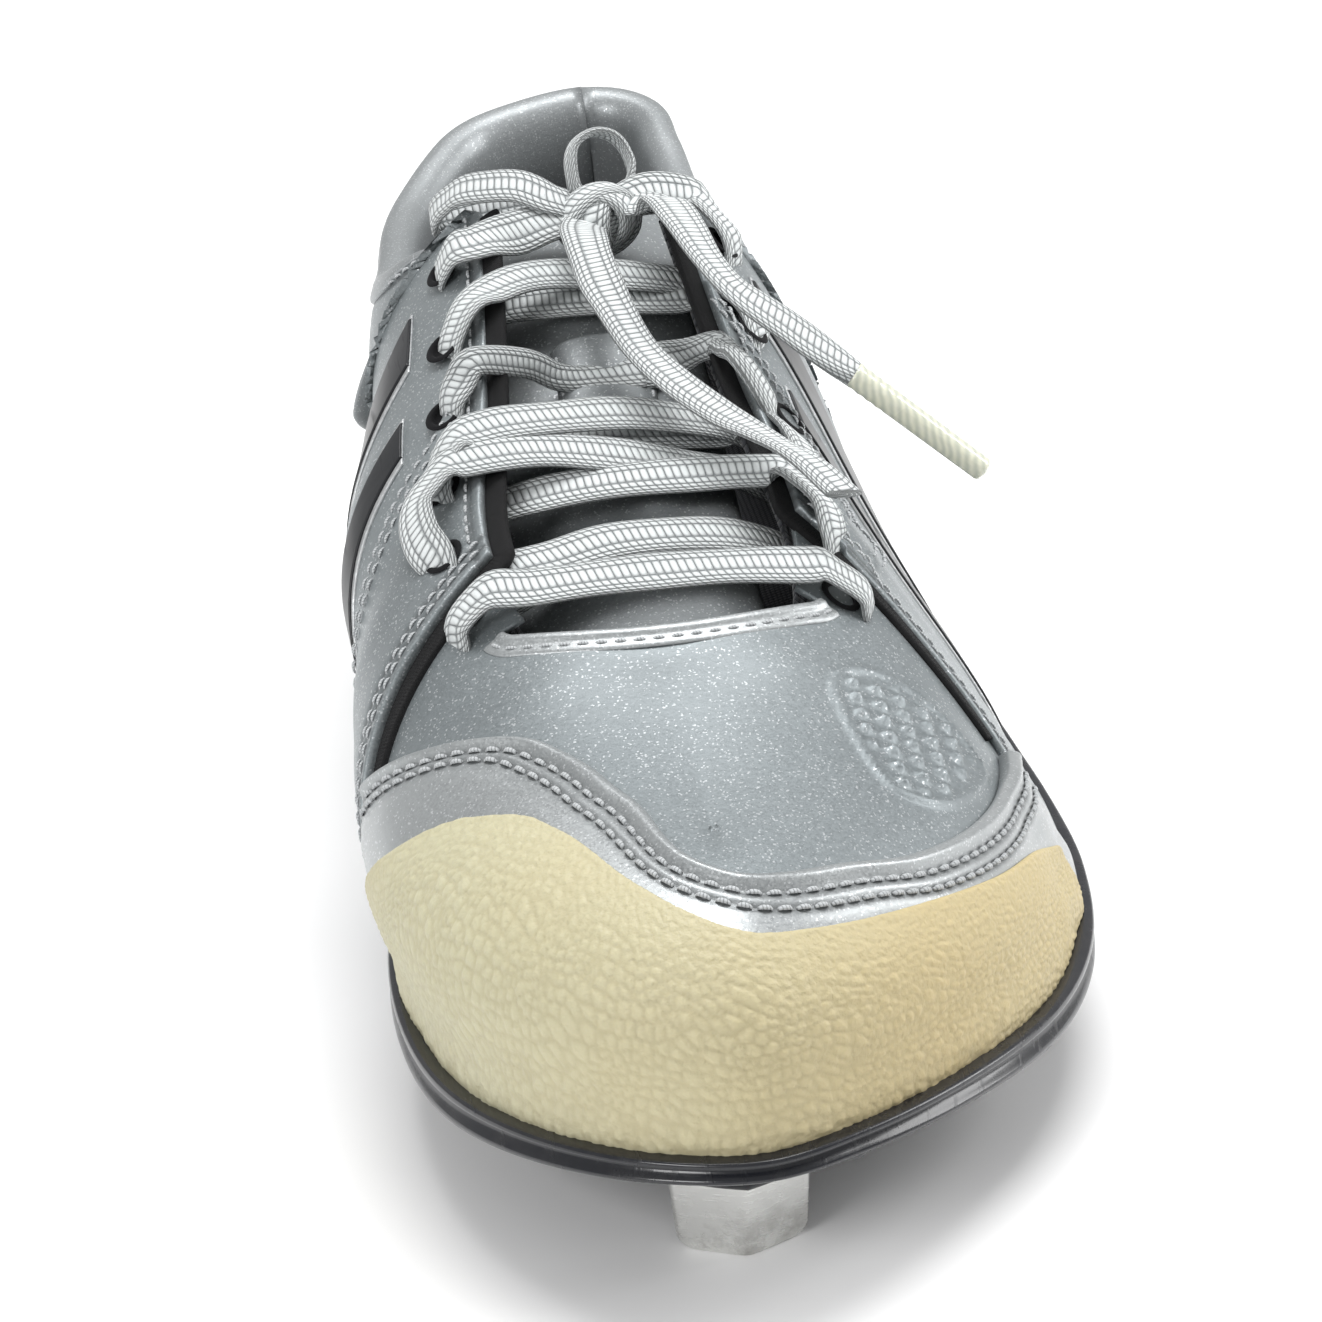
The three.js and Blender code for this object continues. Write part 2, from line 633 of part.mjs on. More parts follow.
/** Round cord along a route. */
function cord(route, diameter, steps) {
  const outline = new THREE.Shape();
  outline.absarc(0, 0, diameter / 2, 0, 2 * Math.PI, false);
  return new THREE.ExtrudeGeometry(outline, {
    steps,
    curveSegments: 4,
    extrudePath: new THREE.CatmullRomCurve3(route.map((p) => place(...p))),
    bevelEnabled: false,
  });
}

/** Aglet that carries on from the last stretch of a cord. */
function aglet(route) {
  const [before, end] = route.slice(-2).map((p) => place(...p));
  const way = end.clone().sub(before).normalize();
  const body = new THREE.CylinderGeometry(AGLET_DIAMETER / 2, AGLET_DIAMETER / 2, AGLET_LENGTH, 8);
  const turn = new THREE.Quaternion().setFromUnitVectors(new THREE.Vector3(0, 1, 0), way);
  const middle = end.clone().addScaledVector(way, AGLET_LENGTH / 2 + GAP + 0.4);
  return body.applyQuaternion(turn).translate(middle.x, middle.y, middle.z);
}

// ---- Panels of the upper ------------------------------------------------------------------------

/** Columns of the lattice with u between two values. */
function columnsBetween(a, b) {
  return RING.filter((u) => u >= a - 1e-9 && u <= b + 1e-9);
}

/** Side panel from the heel seam to a slanted front edge over the vamp. */
function quarter(side) {
  const start = side === 'lateral' ? HEEL_SEAM : 2 - HEEL_SEAM;
  const topFront = uAt(side, side === 'lateral' ? 181 : 186);
  const lowFront = uAt(side, side === 'lateral' ? 216 : 222);
  return patch((a, b) => {
    const level = b ** 1.15;
    const front = lowFront + (topFront - lowFront) * level;
    const along = (side === 'lateral' ? a : 1 - a) ** 1.4;
    const u = start + (front - start) * along;
    return [u, openingEdge(u) * level];
  }, 28, 11, QUARTER);
}

/** Band round the toe from the sole edge up to a seam. */
function toeBand(from, to, seam, layer) {
  const top = smoothTable(seam);
  return patch((a, b) => {
    const u = from + (to - from) * a;
    return [u, top(u) * b];
  }, 28, 8, layer);
}

/** Slanted band on a quarter. */
function sideBand(side, low, high, width) {
  return patch((a, b) => {
    const across = side === 'lateral' ? a - 0.5 : 0.5 - a;
    const s = low + (high - low) * b + across * width;
    const u = uAt(side, s);
    const bottom = 0.08;
    const top = openingEdge(u) - 0.17;
    return [u, bottom + (top - bottom) * b];
  }, 3, 14, BAND);
}

/** Smooth overlay round the back of the heel. */
function heelCounter() {
  return patch((a, b) => {
    const u = 2 + (a - 0.5) * 0.36;
    const v = u > 2 ? u - 2 : u;
    const away = Math.abs(a - 0.5) * 2;
    return [v, heightAt(v, 66 - 26 * away ** 2) * b];
  }, 18, 7, OVERLAY);
}

// Upper edges of the toe pieces: [u, h].
const CAP_SEAM = [[0.68, 0.27], [0.76, 0.38], [0.85, 0.52], [0.9, 0.64], [0.95, 0.73], [1.0, 0.81],
  [1.06, 0.86], [1.14, 0.9], [1.19, 0.87], [1.24, 0.78], [1.28, 0.55], [1.31, 0.36]];
const GUARD_TOP = [[0.71, 0.12], [0.76, 0.24], [0.81, 0.32], [0.9, 0.46], [0.99, 0.59], [1.08, 0.71],
  [1.14, 0.74], [1.18, 0.71], [1.215, 0.59], [1.25, 0.36], [1.29, 0.14]];

// ---- Assembly -----------------------------------------------------------------------------------

const BLACK = { color: 0x0c0f16, roughness: 0.18, metalness: 0 };
const STEEL = { color: 0xd9dadb, roughness: 0.25, metalness: 1 };
const SILVER = { color: 0x9ea2a5, roughness: 0.45, metalness: 0.35 };
const CREAM = { color: 0xcbbf98, roughness: 0.6, metalness: 0 };
const DARK = { color: 0x23252a, roughness: 0.9, metalness: 0 };
const LACE = { color: 0xcfd2d3, roughness: 0.85, metalness: 0 };
const CLEAR = { color: 0xd5d2b8, roughness: 0.3, metalness: 0 };

const shoe = new THREE.Group();

/** Adds one named piece to the shoe. */
function piece(name, geometry, look) {
  const mesh = new THREE.Mesh(geometry, new THREE.MeshStandardMaterial(look));
  mesh.name = name;
  shoe.add(mesh);
}

const plate = outsolePlate();
piece('outsole_plate', plate, BLACK);
for (const [name, s, x, degrees] of SPIKES) {
  const facing = THREE.MathUtils.degToRad(degrees);
  piece(`spike_seat_${name}`, spikeSeat(plate, s, x, facing), BLACK);
  piece(`spike_blade_${name}`, spikeBlade(s, x, facing), STEEL);
}
piece('shank_plate', shank(0), STEEL);
piece('lasting_board', lastingBoard(), DARK);
piece('heel_wedge', heelWedge(), DARK);
piece('sockliner', sockliner(), DARK);

piece('upper_lining', latticePanel(RING, 0, LOW_LEVELS + TOP_LEVELS, LINING), DARK);
piece('toe_puff', latticePanel(columnsBetween(0.8, 1.2), 0, 5, STIFFENER), DARK);
piece('heel_stiffener', latticePanel(
  [...columnsBetween(2 - 0.2, 2), ...columnsBetween(0, 0.2).slice(1)], 0, 5, STIFFENER), DARK);
piece('collar_padding', latticePanel(
  [...columnsBetween(2 - 0.36, 2), ...columnsBetween(0, 0.36).slice(1)], 6, LOW_LEVELS, COLLAR_FOAM), DARK);
piece('vamp', latticePanel(columnsBetween(0.5, 1.5), 0, LOW_LEVELS + TOP_LEVELS, VAMP), SILVER);
piece('quarter_lateral', quarter('lateral'), SILVER);
piece('quarter_medial', quarter('medial'), SILVER);
piece('toe_cap', toeBand(0.68, 1.31, CAP_SEAM, OVERLAY), SILVER);
piece('toe_guard', toeBand(0.71, 1.29, GUARD_TOP, GUARD), CREAM);
piece('heel_counter', heelCounter(), SILVER);
for (const side of ['lateral', 'medial']) {
  piece(`side_band_${side}_front`, sideBand(side, 172, 146, 8), BLACK);
  piece(`side_band_${side}_rear`, sideBand(side, 146, 122, 12), BLACK);
}

piece('tongue', tongue(), SILVER);
piece('tongue_loop', tongueLoop(), SILVER);
piece('lace_bar', laceStrand(BAR_STATION, BAR_STATION, 0, 6), LACE);
for (let row = 1; row < LACE_ROWS; row++) {
  const [near, far] = [rowStation(row) - ROW_OFFSET, rowStation(row + 1) + ROW_OFFSET];
  piece(`lace_cross_${row}_under`, laceStrand(far, near, 0), LACE);
  piece(`lace_cross_${row}_over`, laceStrand(near, far, LACE_THICKNESS + STRAND_GAP), LACE);
}
piece('lace_tie_medial', laceTie('medial'), LACE);
piece('lace_tie_lateral', laceTie('lateral'), LACE);
piece('lace_knot', laceKnot(), LACE);
piece('lace_loop_medial', cord(LOOP_MEDIAL, CORD_DIAMETER - 1, 16), LACE);
piece('lace_loop_rear', cord(LOOP_REAR, CORD_DIAMETER - 1, 14), LACE);
piece('lace_end_lateral', cord(END_LATERAL, CORD_DIAMETER, 10), LACE);
piece('lace_end_front', cord(END_FRONT, CORD_DIAMETER, 12), LACE);
piece('aglet_lateral', aglet(END_LATERAL), CLEAR);

export default shoe;
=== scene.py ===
# %% [markdown]
# # A baseball spike shoe
#
# The real shoe is a stack of thin parts: a moulded outsole with seven steel blades, a lining,
# a vamp and two quarters of silver coated cloth, a toe cap strip, a pebbled toe guard, a heel
# overlay, a tongue, and flat woven laces. The CAD frame holds the same parts as plain solids at
# their true places. Here each part that shows is made again as a fine surface, a function of two
# numbers on a grid, so that its edges can roll, its stitches sink in, and its skin can be pebbled.

import bpy
import numpy as np
from mathutils import Matrix, Vector


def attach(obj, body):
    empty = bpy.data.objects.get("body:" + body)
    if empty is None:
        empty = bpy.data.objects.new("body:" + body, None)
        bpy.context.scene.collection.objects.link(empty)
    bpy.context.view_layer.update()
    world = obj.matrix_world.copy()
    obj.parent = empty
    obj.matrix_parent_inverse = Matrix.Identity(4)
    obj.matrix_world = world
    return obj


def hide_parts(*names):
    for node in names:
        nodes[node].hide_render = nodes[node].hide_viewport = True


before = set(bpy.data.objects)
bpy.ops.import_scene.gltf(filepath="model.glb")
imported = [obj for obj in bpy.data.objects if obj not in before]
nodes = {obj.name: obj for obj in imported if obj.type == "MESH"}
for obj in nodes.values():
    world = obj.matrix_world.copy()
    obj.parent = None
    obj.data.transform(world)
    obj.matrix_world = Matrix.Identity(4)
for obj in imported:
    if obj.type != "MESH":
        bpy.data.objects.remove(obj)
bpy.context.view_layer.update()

# %% [markdown]
# Every size below is in millimetres, measured as a shoemaker would: s forward from the back of
# the heel, x to the outer (lateral) side, z up from the ground. The frame wants metres, with the
# toe towards -Y, so `place` is the only function that turns one into the other.

# %% From shoe millimetres to frame metres
MM = 0.001
LENGTH = 291.5
CENTRE_X = -1.88


def place(s, x, z):
    """Frame point: (x - centre, half length - s, z), in metres, for numbers or whole arrays."""
    s, x, z = np.broadcast_arrays(s, x, z)
    return np.stack([x - CENTRE_X, LENGTH / 2 - s, z], -1) * MM


def in_frame(p):
    """Frame points of an array whose last axis holds (s, x, z)."""
    return place(p[..., 0], p[..., 1], p[..., 2])


# %% [markdown]
# The camera comes first, because everything else is judged through it. It looks at the toe from in
# front and a little above, as from a table's edge. A long lens keeps the toe and the heel in
# proportion, and the roll of under four degrees is the way it was held.

# %% Camera
camera_data = bpy.data.cameras.new("camera")
camera = bpy.data.objects.new("camera", camera_data)
bpy.context.scene.collection.objects.link(camera)
bpy.context.scene.camera = camera
camera_data.lens = 132
camera_data.sensor_width = 36
camera_data.clip_end = 20
CAMERA_PLACE = Vector((-0.0787, -0.6954, 0.3373))
CAMERA_AIM = Vector((-0.004, -0.030, 0.048))
CAMERA_ROLL = np.radians(-3.8)
gaze = (CAMERA_AIM - CAMERA_PLACE).to_track_quat("-Z", "Y")
camera.location = CAMERA_PLACE
camera.rotation_euler = (gaze.to_matrix() @ Matrix.Rotation(CAMERA_ROLL, 3, "Z")).to_euler()
print("camera distance:", round((CAMERA_AIM - CAMERA_PLACE).length, 3), "m")

# %% [markdown]
# Heights and widths along the shoe are short tables joined by a monotone cubic, which never
# overshoots, so a table with five rows gives a smooth last. Curves in space are centripetal
# Catmull-Rom splines, which pass through every point without loops.

# %% Smooth tables and curves


def smooth_table(points):
    """Monotone cubic through (place, value) rows: slopes are harmonic means, zero at a turn."""
    xs, ys = np.array(points, float).T
    rise = np.diff(ys) / np.diff(xs)
    product = rise[:-1] * rise[1:]
    total = np.where(product > 0, rise[:-1] + rise[1:], 1)
    inner = np.where(product > 0, 2 * product / total, 0)
    slope = np.concatenate([rise[:1], inner, rise[-1:]])

    def value(s):
        s = np.clip(s, xs[0], xs[-1])
        i = np.clip(np.searchsorted(xs, s) - 1, 0, len(xs) - 2)
        width = xs[i + 1] - xs[i]
        t = (s - xs[i]) / width
        low = (1 + 2 * t) * (1 - t) ** 2 * ys[i] + t * (1 - t) ** 2 * width * slope[i]
        high = t * t * (3 - 2 * t) * ys[i + 1] + t * t * (t - 1) * width * slope[i + 1]
        return low + high

    return value


def spline(points, count, closed=False):
    """Centripetal Catmull-Rom: knots are spaced by the square root of the chord between points."""
    p = np.array(points, float)
    if closed:
        p = np.concatenate([p[-1:], p, p[:2]])
    else:
        p = np.concatenate([2 * p[:1] - p[1:2], p, 2 * p[-1:] - p[-2:-1]])
    step = np.linalg.norm(np.diff(p, axis=0), axis=1) ** 0.5
    spans = len(p) - 3
    t = np.linspace(0, spans, count)
    i = np.minimum(t.astype(int), spans - 1)
    w = (t - i)[:, None]
    d0, d1, d2 = step[i][:, None], step[i + 1][:, None], step[i + 2][:, None]
    a, b, c, d = p[i], p[i + 1], p[i + 2], p[i + 3]
    m1 = ((b - a) / d0 - (c - a) / (d0 + d1) + (c - b) / d1) * d1
    m2 = ((c - b) / d1 - (d - b) / (d1 + d2) + (d - c) / d2) * d1
    return b + m1 * w + (3 * c - 3 * b - 2 * m1 - m2) * w**2 + (2 * b - 2 * c + m1 + m2) * w**3


def run_length(points):
    """Distance along a polyline from its start to each point."""
    return np.concatenate([[0], np.cumsum(np.linalg.norm(np.diff(points, axis=0), axis=-1))])


def evenly(points, count):
    """The same polyline with points spaced evenly along its length."""
    run = run_length(points)
    at = np.linspace(0, run[-1], count)
    return np.stack([np.interp(at, run, points[:, k]) for k in range(points.shape[1])], -1)


def ease(x, low, high):
    """Smooth step: 3t^2 - 2t^3 of the share of the way from low to high."""
    t = np.clip((x - low) / (high - low), 0, 1)
    return t * t * (3 - 2 * t)


def unit(v):
    """Vectors divided by their own length."""
    return v / np.maximum(np.linalg.norm(v, axis=-1, keepdims=True), 1e-12)


def segment_distance(s, x, a, b):
    """Distance to the segment from a to b, in mm."""
    a, b = np.array(a, float), np.array(b, float)
    t = np.clip(((s - a[0]) * (b - a)[0] + (x - a[1]) * (b - a)[1]) / np.sum((b - a) ** 2), 0, 1)
    return np.hypot(s - a[0] - t * (b - a)[0], x - a[1] - t * (b - a)[1])


def polygon_inside(s, x, corners):
    """Distance to a closed line of corners, positive inside: nearest side, sign by crossings."""
    near = np.full(s.shape, 1e9)
    crossings = np.zeros(s.shape, int)
    for a, b in zip(corners, np.roll(corners, -1, 0)):
        near = np.minimum(near, segment_distance(s, x, a, b))
        spans = (a[1] > x) != (b[1] > x)
        at = a[0] + (x - a[1]) / (b[1] - a[1] + 1e-12) * (b[0] - a[0])
        crossings += spans & (s < at)
    return np.where(crossings % 2 == 1, near, -near)


# %% [markdown]
# The upper is a skin over the last. A column u runs round the sole edge: 0 at the heel, 1 at the
# toe along the lateral side, 2 back at the heel along the medial side. Up each column h goes from
# 0 at the sole to 1 at the ridge over the instep. Between them a quarter of an ellipse rises,
# pushed outward by a bulge and fuller over the medial toe. All pieces of the upper are offsets of
# this one skin, which is why they lie on each other as real layers do.

# %% The last's tables
LATERAL_EDGE = [(0, 6), (4, 22), (14, 34), (40, 42.5), (75, 42), (106, 41), (130, 44), (154, 49)]
LATERAL_EDGE += [(185, 52), (205, 52), (228, 48), (251, 37.5), (272, 20.5), (285, 5)]
MEDIAL_EDGE = [(291.5, -9), (287, -24), (275, -37), (255, -47.5), (228, -52.5), (200, -51.5)]
MEDIAL_EDGE += [(175, -45), (154, -37), (130, -27.5), (106, -23.5), (75, -26), (40, -29.5)]
MEDIAL_EDGE += [(14, -21), (4, -8)]
sole_bottom = smooth_table([(0, 13), (60, 13), (120, 20), (170, 14), (230, 13.5), (292, 22)])
sole_top = smooth_table([(0, 27), (60, 25), (120, 27), (170, 22), (230, 20), (292, 26)])
RIDGE_ROWS = [(0, 131), (60, 116), (115, 101), (150, 88), (190, 75.5), (215, 66.5), (240, 60), (258, 57)]
ridge_height = smooth_table(RIDGE_ROWS)
ridge_x = smooth_table([(0, 5), (60, -4), (115, -7), (150, -7.5), (190, -8), (258, -9)])
MEDIAL_BULGE_ROWS = [(0, 4), (20, 6), (60, 16), (100, 25), (140, 26), (175, 15), (210, 9.5), (245, 7),
                     (292, 3)]
medial_bulge = smooth_table(MEDIAL_BULGE_ROWS)
LATERAL_BULGE_ROWS = [(0, 3), (20, -7), (45, -10.5), (70, -9.5), (92, -3.3), (112, -0.8), (130, -3.5)]
LATERAL_BULGE_ROWS += [(156, -6.5), (180, -5.5), (210, -2), (245, 2), (292, 3)]
lateral_bulge = smooth_table(LATERAL_BULGE_ROWS)
COLLAR_FRONT = 104
THROAT_FRONT = 207
collar_height = smooth_table([(-10, 88.5), (5, 87.5), (18, 85), (45, 78.5), (72, 77.5), (92, 84.5),
                              (104, 94)])
throat_half = smooth_table([(90, 15), (110, 16), (150, 19.5), (180, 23), (196, 21.5), (207, 17)])
tongue_top = smooth_table([(86, 94), (102, 90), (120, 85.5), (150, 75), (180, 65.5), (212, 56)])
FEATHER_INSET = 5
SKIN_LIFT = 1.6

outline = spline(LATERAL_EDGE + MEDIAL_EDGE, 5601, closed=True)
lateral_side = evenly(outline[:2801], 1601)
medial_side = evenly(outline[2800:][::-1], 1601)
print("outsole:", np.round(np.ptp(outline, axis=0), 1), "mm long and wide")

# %% The skin


def walk(u):
    """Point (s, x) of the sole edge at u: even steps along each side."""
    u = np.mod(np.asarray(u, float), 2)
    share = np.where(u <= 1, u, 2 - u) * 1600
    index = np.arange(1601)
    lateral = [np.interp(share, index, lateral_side[:, k]) for k in (0, 1)]
    medial = [np.interp(share, index, medial_side[:, k]) for k in (0, 1)]
    return np.stack([np.where(u <= 1, a, b) for a, b in zip(lateral, medial)], -1)


def edge_at(u, inset):
    """Sole edge moved inward by inset along the edge's own normal."""
    along = unit(walk(np.add(u, 0.004)) - walk(np.subtract(u, 0.004)))
    point = walk(u)
    return point[..., 0] + along[..., 1] * inset, point[..., 1] - along[..., 0] * inset


def ridge_station(s):
    """Place on the ridge for a place on the edge, fanned in at the heel and the toe."""
    front = 200 + (s - 200) * (1 - 0.4 * (s - 200) / 91.5)
    back = s + 0.45 * (70 - s) ** 2 / 70
    return np.where(s > 200, front, np.where(s < 70, back, s))


HALF = np.linspace(0, 1, 1601)
HALF_STATION = (edge_at(HALF, FEATHER_INSET)[0] + edge_at(2 - HALF, FEATHER_INSET)[0]) / 2


def u_at(side, s):
    """The u of a side whose place along the shoe is s."""
    f = np.interp(s, HALF_STATION, HALF)
    return f if side == "lateral" else 2 - f


def skin(u, h):
    """(s, x, z): foot + (ridge - foot) times 1 - cos^a(h quarter turn) - bulge, and sin^b upward."""
    u, h = np.broadcast_arrays(np.asarray(u, float), np.asarray(h, float))
    foot_s, foot_x = edge_at(u, FEATHER_INSET)
    fold = np.mod(u, 2)
    fold = np.where(fold <= 1, fold, 2 - fold)
    station = ridge_station(np.interp(fold, HALF, HALF_STATION))
    base = sole_top(foot_s) + SKIN_LIFT
    share = np.where(u < 0.5, 0.5 - 0.5 * ease(u, 0, 0.12), ease(u, 0.8, 1.2))
    share = np.where(u > 1.5, 1 - 0.5 * ease(u, 1.88, 2), share)
    phi = h * np.pi / 2
    toe = np.clip((foot_s - 150) / 100, 0, 1)
    middle = ridge_x(station)
    reach = np.hypot(foot_s - station, foot_x - middle)
    bulge = lateral_bulge(foot_s) * (1 - share) + medial_bulge(foot_s) * share
    wave = np.maximum(np.sin(np.pi * h * (1.55 - 0.55 * h)), 0)
    inward = 1 - np.maximum(np.cos(phi), 0) ** (1 - 0.3 * toe * share)
    inward = inward - bulge / reach * np.where(bulge < 0, wave**2, wave)
    upward = np.sin(phi) ** (1 - 0.15 * toe * share)
    s = foot_s + (station - foot_s) * inward
    x = foot_x + (middle - foot_x) * inward
    return np.stack([s, x, base + (ridge_height(station) - base) * upward], -1)


def in_opening(p):
    """Whether points lie in the collar or in the lace opening."""
    s, x, z = p[..., 0], p[..., 1], p[..., 2]
    collar = (s < COLLAR_FRONT) & (z > collar_height(s))
    throat = (s < THROAT_FRONT) & (s > COLLAR_FRONT - 20) & (np.abs(x - ridge_x(s)) < throat_half(s))
    return collar | throat


def crossing(test, low, high):
    """Where a test of whole arrays turns from false to true, by halving 30 times."""
    low, high = np.array(low, float), np.array(high, float)
    for _ in range(30):
        middle = (low + high) / 2
        yes = test(middle)
        high = np.where(yes, middle, high)
        low = np.where(yes, low, middle)
    return (low + high) / 2


THROAT_U = float(u_at("lateral", THROAT_FRONT))
EDGE_U = np.linspace(0, THROAT_U - 0.001, 900)
EDGE_LATERAL = crossing(lambda h: in_opening(skin(EDGE_U, h)), np.full(900, 0.1), np.ones(900))
EDGE_MEDIAL = crossing(lambda h: in_opening(skin(2 - EDGE_U, h)), np.full(900, 0.1), np.ones(900))


def opening_edge(u):
    """Height h at which the column at u meets the edge of the collar or the lace opening."""
    u = np.mod(np.asarray(u, float), 2)
    return np.where(u <= 1, np.interp(u, EDGE_U, EDGE_LATERAL), np.interp(2 - u, EDGE_U, EDGE_MEDIAL))


def height_at(u, z):
    """Height h at which the column at u reaches z."""
    u, z = np.broadcast_arrays(np.asarray(u, float), z)
    return crossing(lambda h: skin(u, h)[..., 2] > z, np.zeros(u.shape), np.ones(u.shape))


print("collar corner h:", np.round(opening_edge(u_at("lateral", 104.0)), 3))

# %% [markdown]
# Every piece is one closed mesh. `make` puts whole arrays of points and four-cornered faces into
# a Blender mesh, welds the places where a grid closes on itself, and lets the piece ride on its
# CAD body. A `shell` turns a grid on the skin into a real panel: an outer face, an inner face, and
# an edge that rolls over like cut and skived leather.

# %% Meshes from grids
import bmesh

pieces = {}


def make(name, points, faces, finish, body="shoe", stands_for=(), uv=None, weld=True, marks=None):
    """One mesh object from points (n, 3) in metres and quads (m, 4), smooth shaded.

    marks are named numbers per point that a material can read."""
    mesh = bpy.data.meshes.new(name)
    points = np.asarray(points, np.float32).reshape(-1, 3)
    faces = np.asarray(faces, np.int32).reshape(-1, 4)
    mesh.vertices.add(len(points))
    mesh.vertices.foreach_set("co", points.ravel())
    mesh.loops.add(faces.size)
    mesh.loops.foreach_set("vertex_index", faces.ravel())
    mesh.polygons.add(len(faces))
    mesh.polygons.foreach_set("loop_start", np.arange(0, faces.size, 4, dtype=np.int32))
    if uv is not None:
        layer = mesh.uv_layers.new(name="UVMap")
        layer.data.foreach_set("uv", np.asarray(uv, np.float32).reshape(-1, 2)[faces.ravel()].ravel())
    for label, values in (marks or {}).items():
        mesh.attributes.new(label, "FLOAT", "POINT").data.foreach_set("value", np.float32(values).ravel())
    mesh.update(calc_edges=True)
    work = bmesh.new()
    work.from_mesh(mesh)
    if weld:
        bmesh.ops.remove_doubles(work, verts=work.verts, dist=2e-6)
        bmesh.ops.dissolve_degenerate(work, edges=work.edges, dist=1e-7)
    bmesh.ops.recalc_face_normals(work, faces=work.faces)
    work.to_mesh(mesh)
    work.free()
    mesh.validate()
    mesh.polygons.foreach_set("use_smooth", np.ones(len(mesh.polygons), bool))
    mesh.materials.append(finish)
    piece = bpy.data.objects.new(name + "_fine" if stands_for else name, mesh)
    bpy.context.scene.collection.objects.link(piece)
    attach(piece, body)
    if stands_for:
        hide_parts(*stands_for)
    pieces[name] = piece
    return piece


def quads(rows, columns, start=0, turned=False, wrap=False):
    """Faces of a grid of points numbered row by row; wrap joins the last column to the first."""
    index = start + np.arange(rows * columns).reshape(rows, columns)
    if wrap:
        index = np.concatenate([index, index[:, :1]], 1)
    faces = np.stack([index[:-1, :-1], index[:-1, 1:], index[1:, 1:], index[1:, :-1]], -1).reshape(-1, 4)
    return faces[:, ::-1] if turned else faces


def slab_faces(shape, turned=False, joined=None):
    """Faces of a closed slab: a grid, the same grid under it, and the wall round both.

    joined marks the points where the grid already meets itself, so that no wall stands there."""
    rows, columns = shape
    count = rows * columns
    index = np.arange(count).reshape(shape)
    loop = np.concatenate([index[:, 0], index[-1, 1:], index[-2::-1, -1], index[0, -2::-1]])
    a, b = loop[:-1], loop[1:]
    wall = np.stack([a, a + count, b + count, b] if turned else [a, b, b + count, a + count], -1)
    if joined is not None:
        wall = wall[~(joined[a] & joined[b])]
    return np.concatenate([quads(rows, columns, 0, turned), quads(rows, columns, count, not turned), wall])


def grid_normals(p):
    """Outward unit normals of a grid (u, h, 3): the step in h crossed with the step in u."""
    across = np.gradient(p, axis=1)
    along = np.gradient(p, axis=0)
    return unit(np.cross(across, along))


def border_distance(p):
    """Distance in mm from each grid point to the first and last row and column, along the grid."""
    down = np.concatenate([np.zeros_like(p[:, :1, 0]),
                           np.cumsum(np.linalg.norm(np.diff(p, axis=1), axis=-1), 1)], 1)
    along = np.concatenate([np.zeros_like(p[:1, :, 0]),
                            np.cumsum(np.linalg.norm(np.diff(p, axis=0), axis=-1), 0)], 0)
    return [d / MM for d in (along, along[-1:] - along, down, down[:, -1:] - down)]


def rolled(distance, radius):
    """Drop of a rounded edge: r - sqrt(r^2 - (r - d)^2) inside the radius r, else 0."""
    t = np.clip(1 - distance / radius, 0, 1)
    return radius * (1 - np.sqrt(1 - t * t))


def crowded(count, edge=0.012):
    """Numbers from 0 to 1, with extra ones close to both ends for the rolled edges."""
    near = edge * np.array([0, 0.08, 0.22, 0.42, 0.68])
    return np.concatenate([near, np.linspace(edge, 1 - edge, count), 1 - near[::-1]])


def shell(name, grid, lift, thickness, finish, roll=0.5, relief=None, seams=(), borders=(1, 1, 1, 1),
          ridge=False, foot=0.0, marks=None, **rest):
    """Panel on the skin: grid (u, h, 3) in shoe mm raised by lift mm, with rolled borders.

    relief is a further height in mm for each point. seams are (border, distance, depth) lines where
    stitching pulls the panel in, a trough exp(-((d - distance) / 0.8)^2) deep. foot is how far the
    lowest 8 mm spread outward, to sit on the outsole's rim. A ridge panel closes on itself on top."""
    p = in_frame(grid)
    n = grid_normals(p)
    top = np.linalg.norm(p[:, -1] - p[::-1, -1], axis=-1) < (1e-4 if ridge else -1)
    n[:, -1] = np.where(top[:, None], unit(n[:, -1] + n[::-1, -1]), n[:, -1])
    if ridge:
        pole = slice(len(n) // 2 - 4, len(n) // 2 + 5)
        n[pole, -6:] = n[pole, -7:-6]
    edges = border_distance(p)
    height = lift + foot * ease(edges[2], 8, 0)
    p = p - np.array([0, 0, 0.0014]) * (ease(edges[2], 4, 0) * (foot > 0))[..., None]
    inner = p + n * (height - lift + np.min(lift) - thickness)[..., None] * MM
    for border, used in zip(edges, borders):
        if used:
            height = height - rolled(border, roll)
    # this mask marks the stitch troughs; the silver finishes darken them nearly to black there, a painted
    # shade
    groove_shade = np.zeros_like(height)
    for border, distance, depth in seams:
        line = np.exp(-(((edges[border] - distance) / 0.8) ** 2))
        height = height - depth * line
        groove_shade = np.maximum(groove_shade, line)
    if relief is not None:
        height = height + relief
    outer = p + n * height[..., None] * MM
    joined = np.zeros(p.shape[:2], bool)
    joined[:, -1] = top
    faces = slab_faces(joined.shape, joined=joined.ravel())
    uv = np.stack([edges[0], edges[2]], -1) * MM
    marks = {"groove_shade": groove_shade, **(marks or {})}
    marks = {label: np.concatenate([values, values]) for label, values in marks.items()}
    return make(name, np.concatenate([outer.reshape(-1, 3), inner.reshape(-1, 3)]), faces, finish,
                uv=np.concatenate([uv, uv]).reshape(-1, 2), marks=marks, **rest)


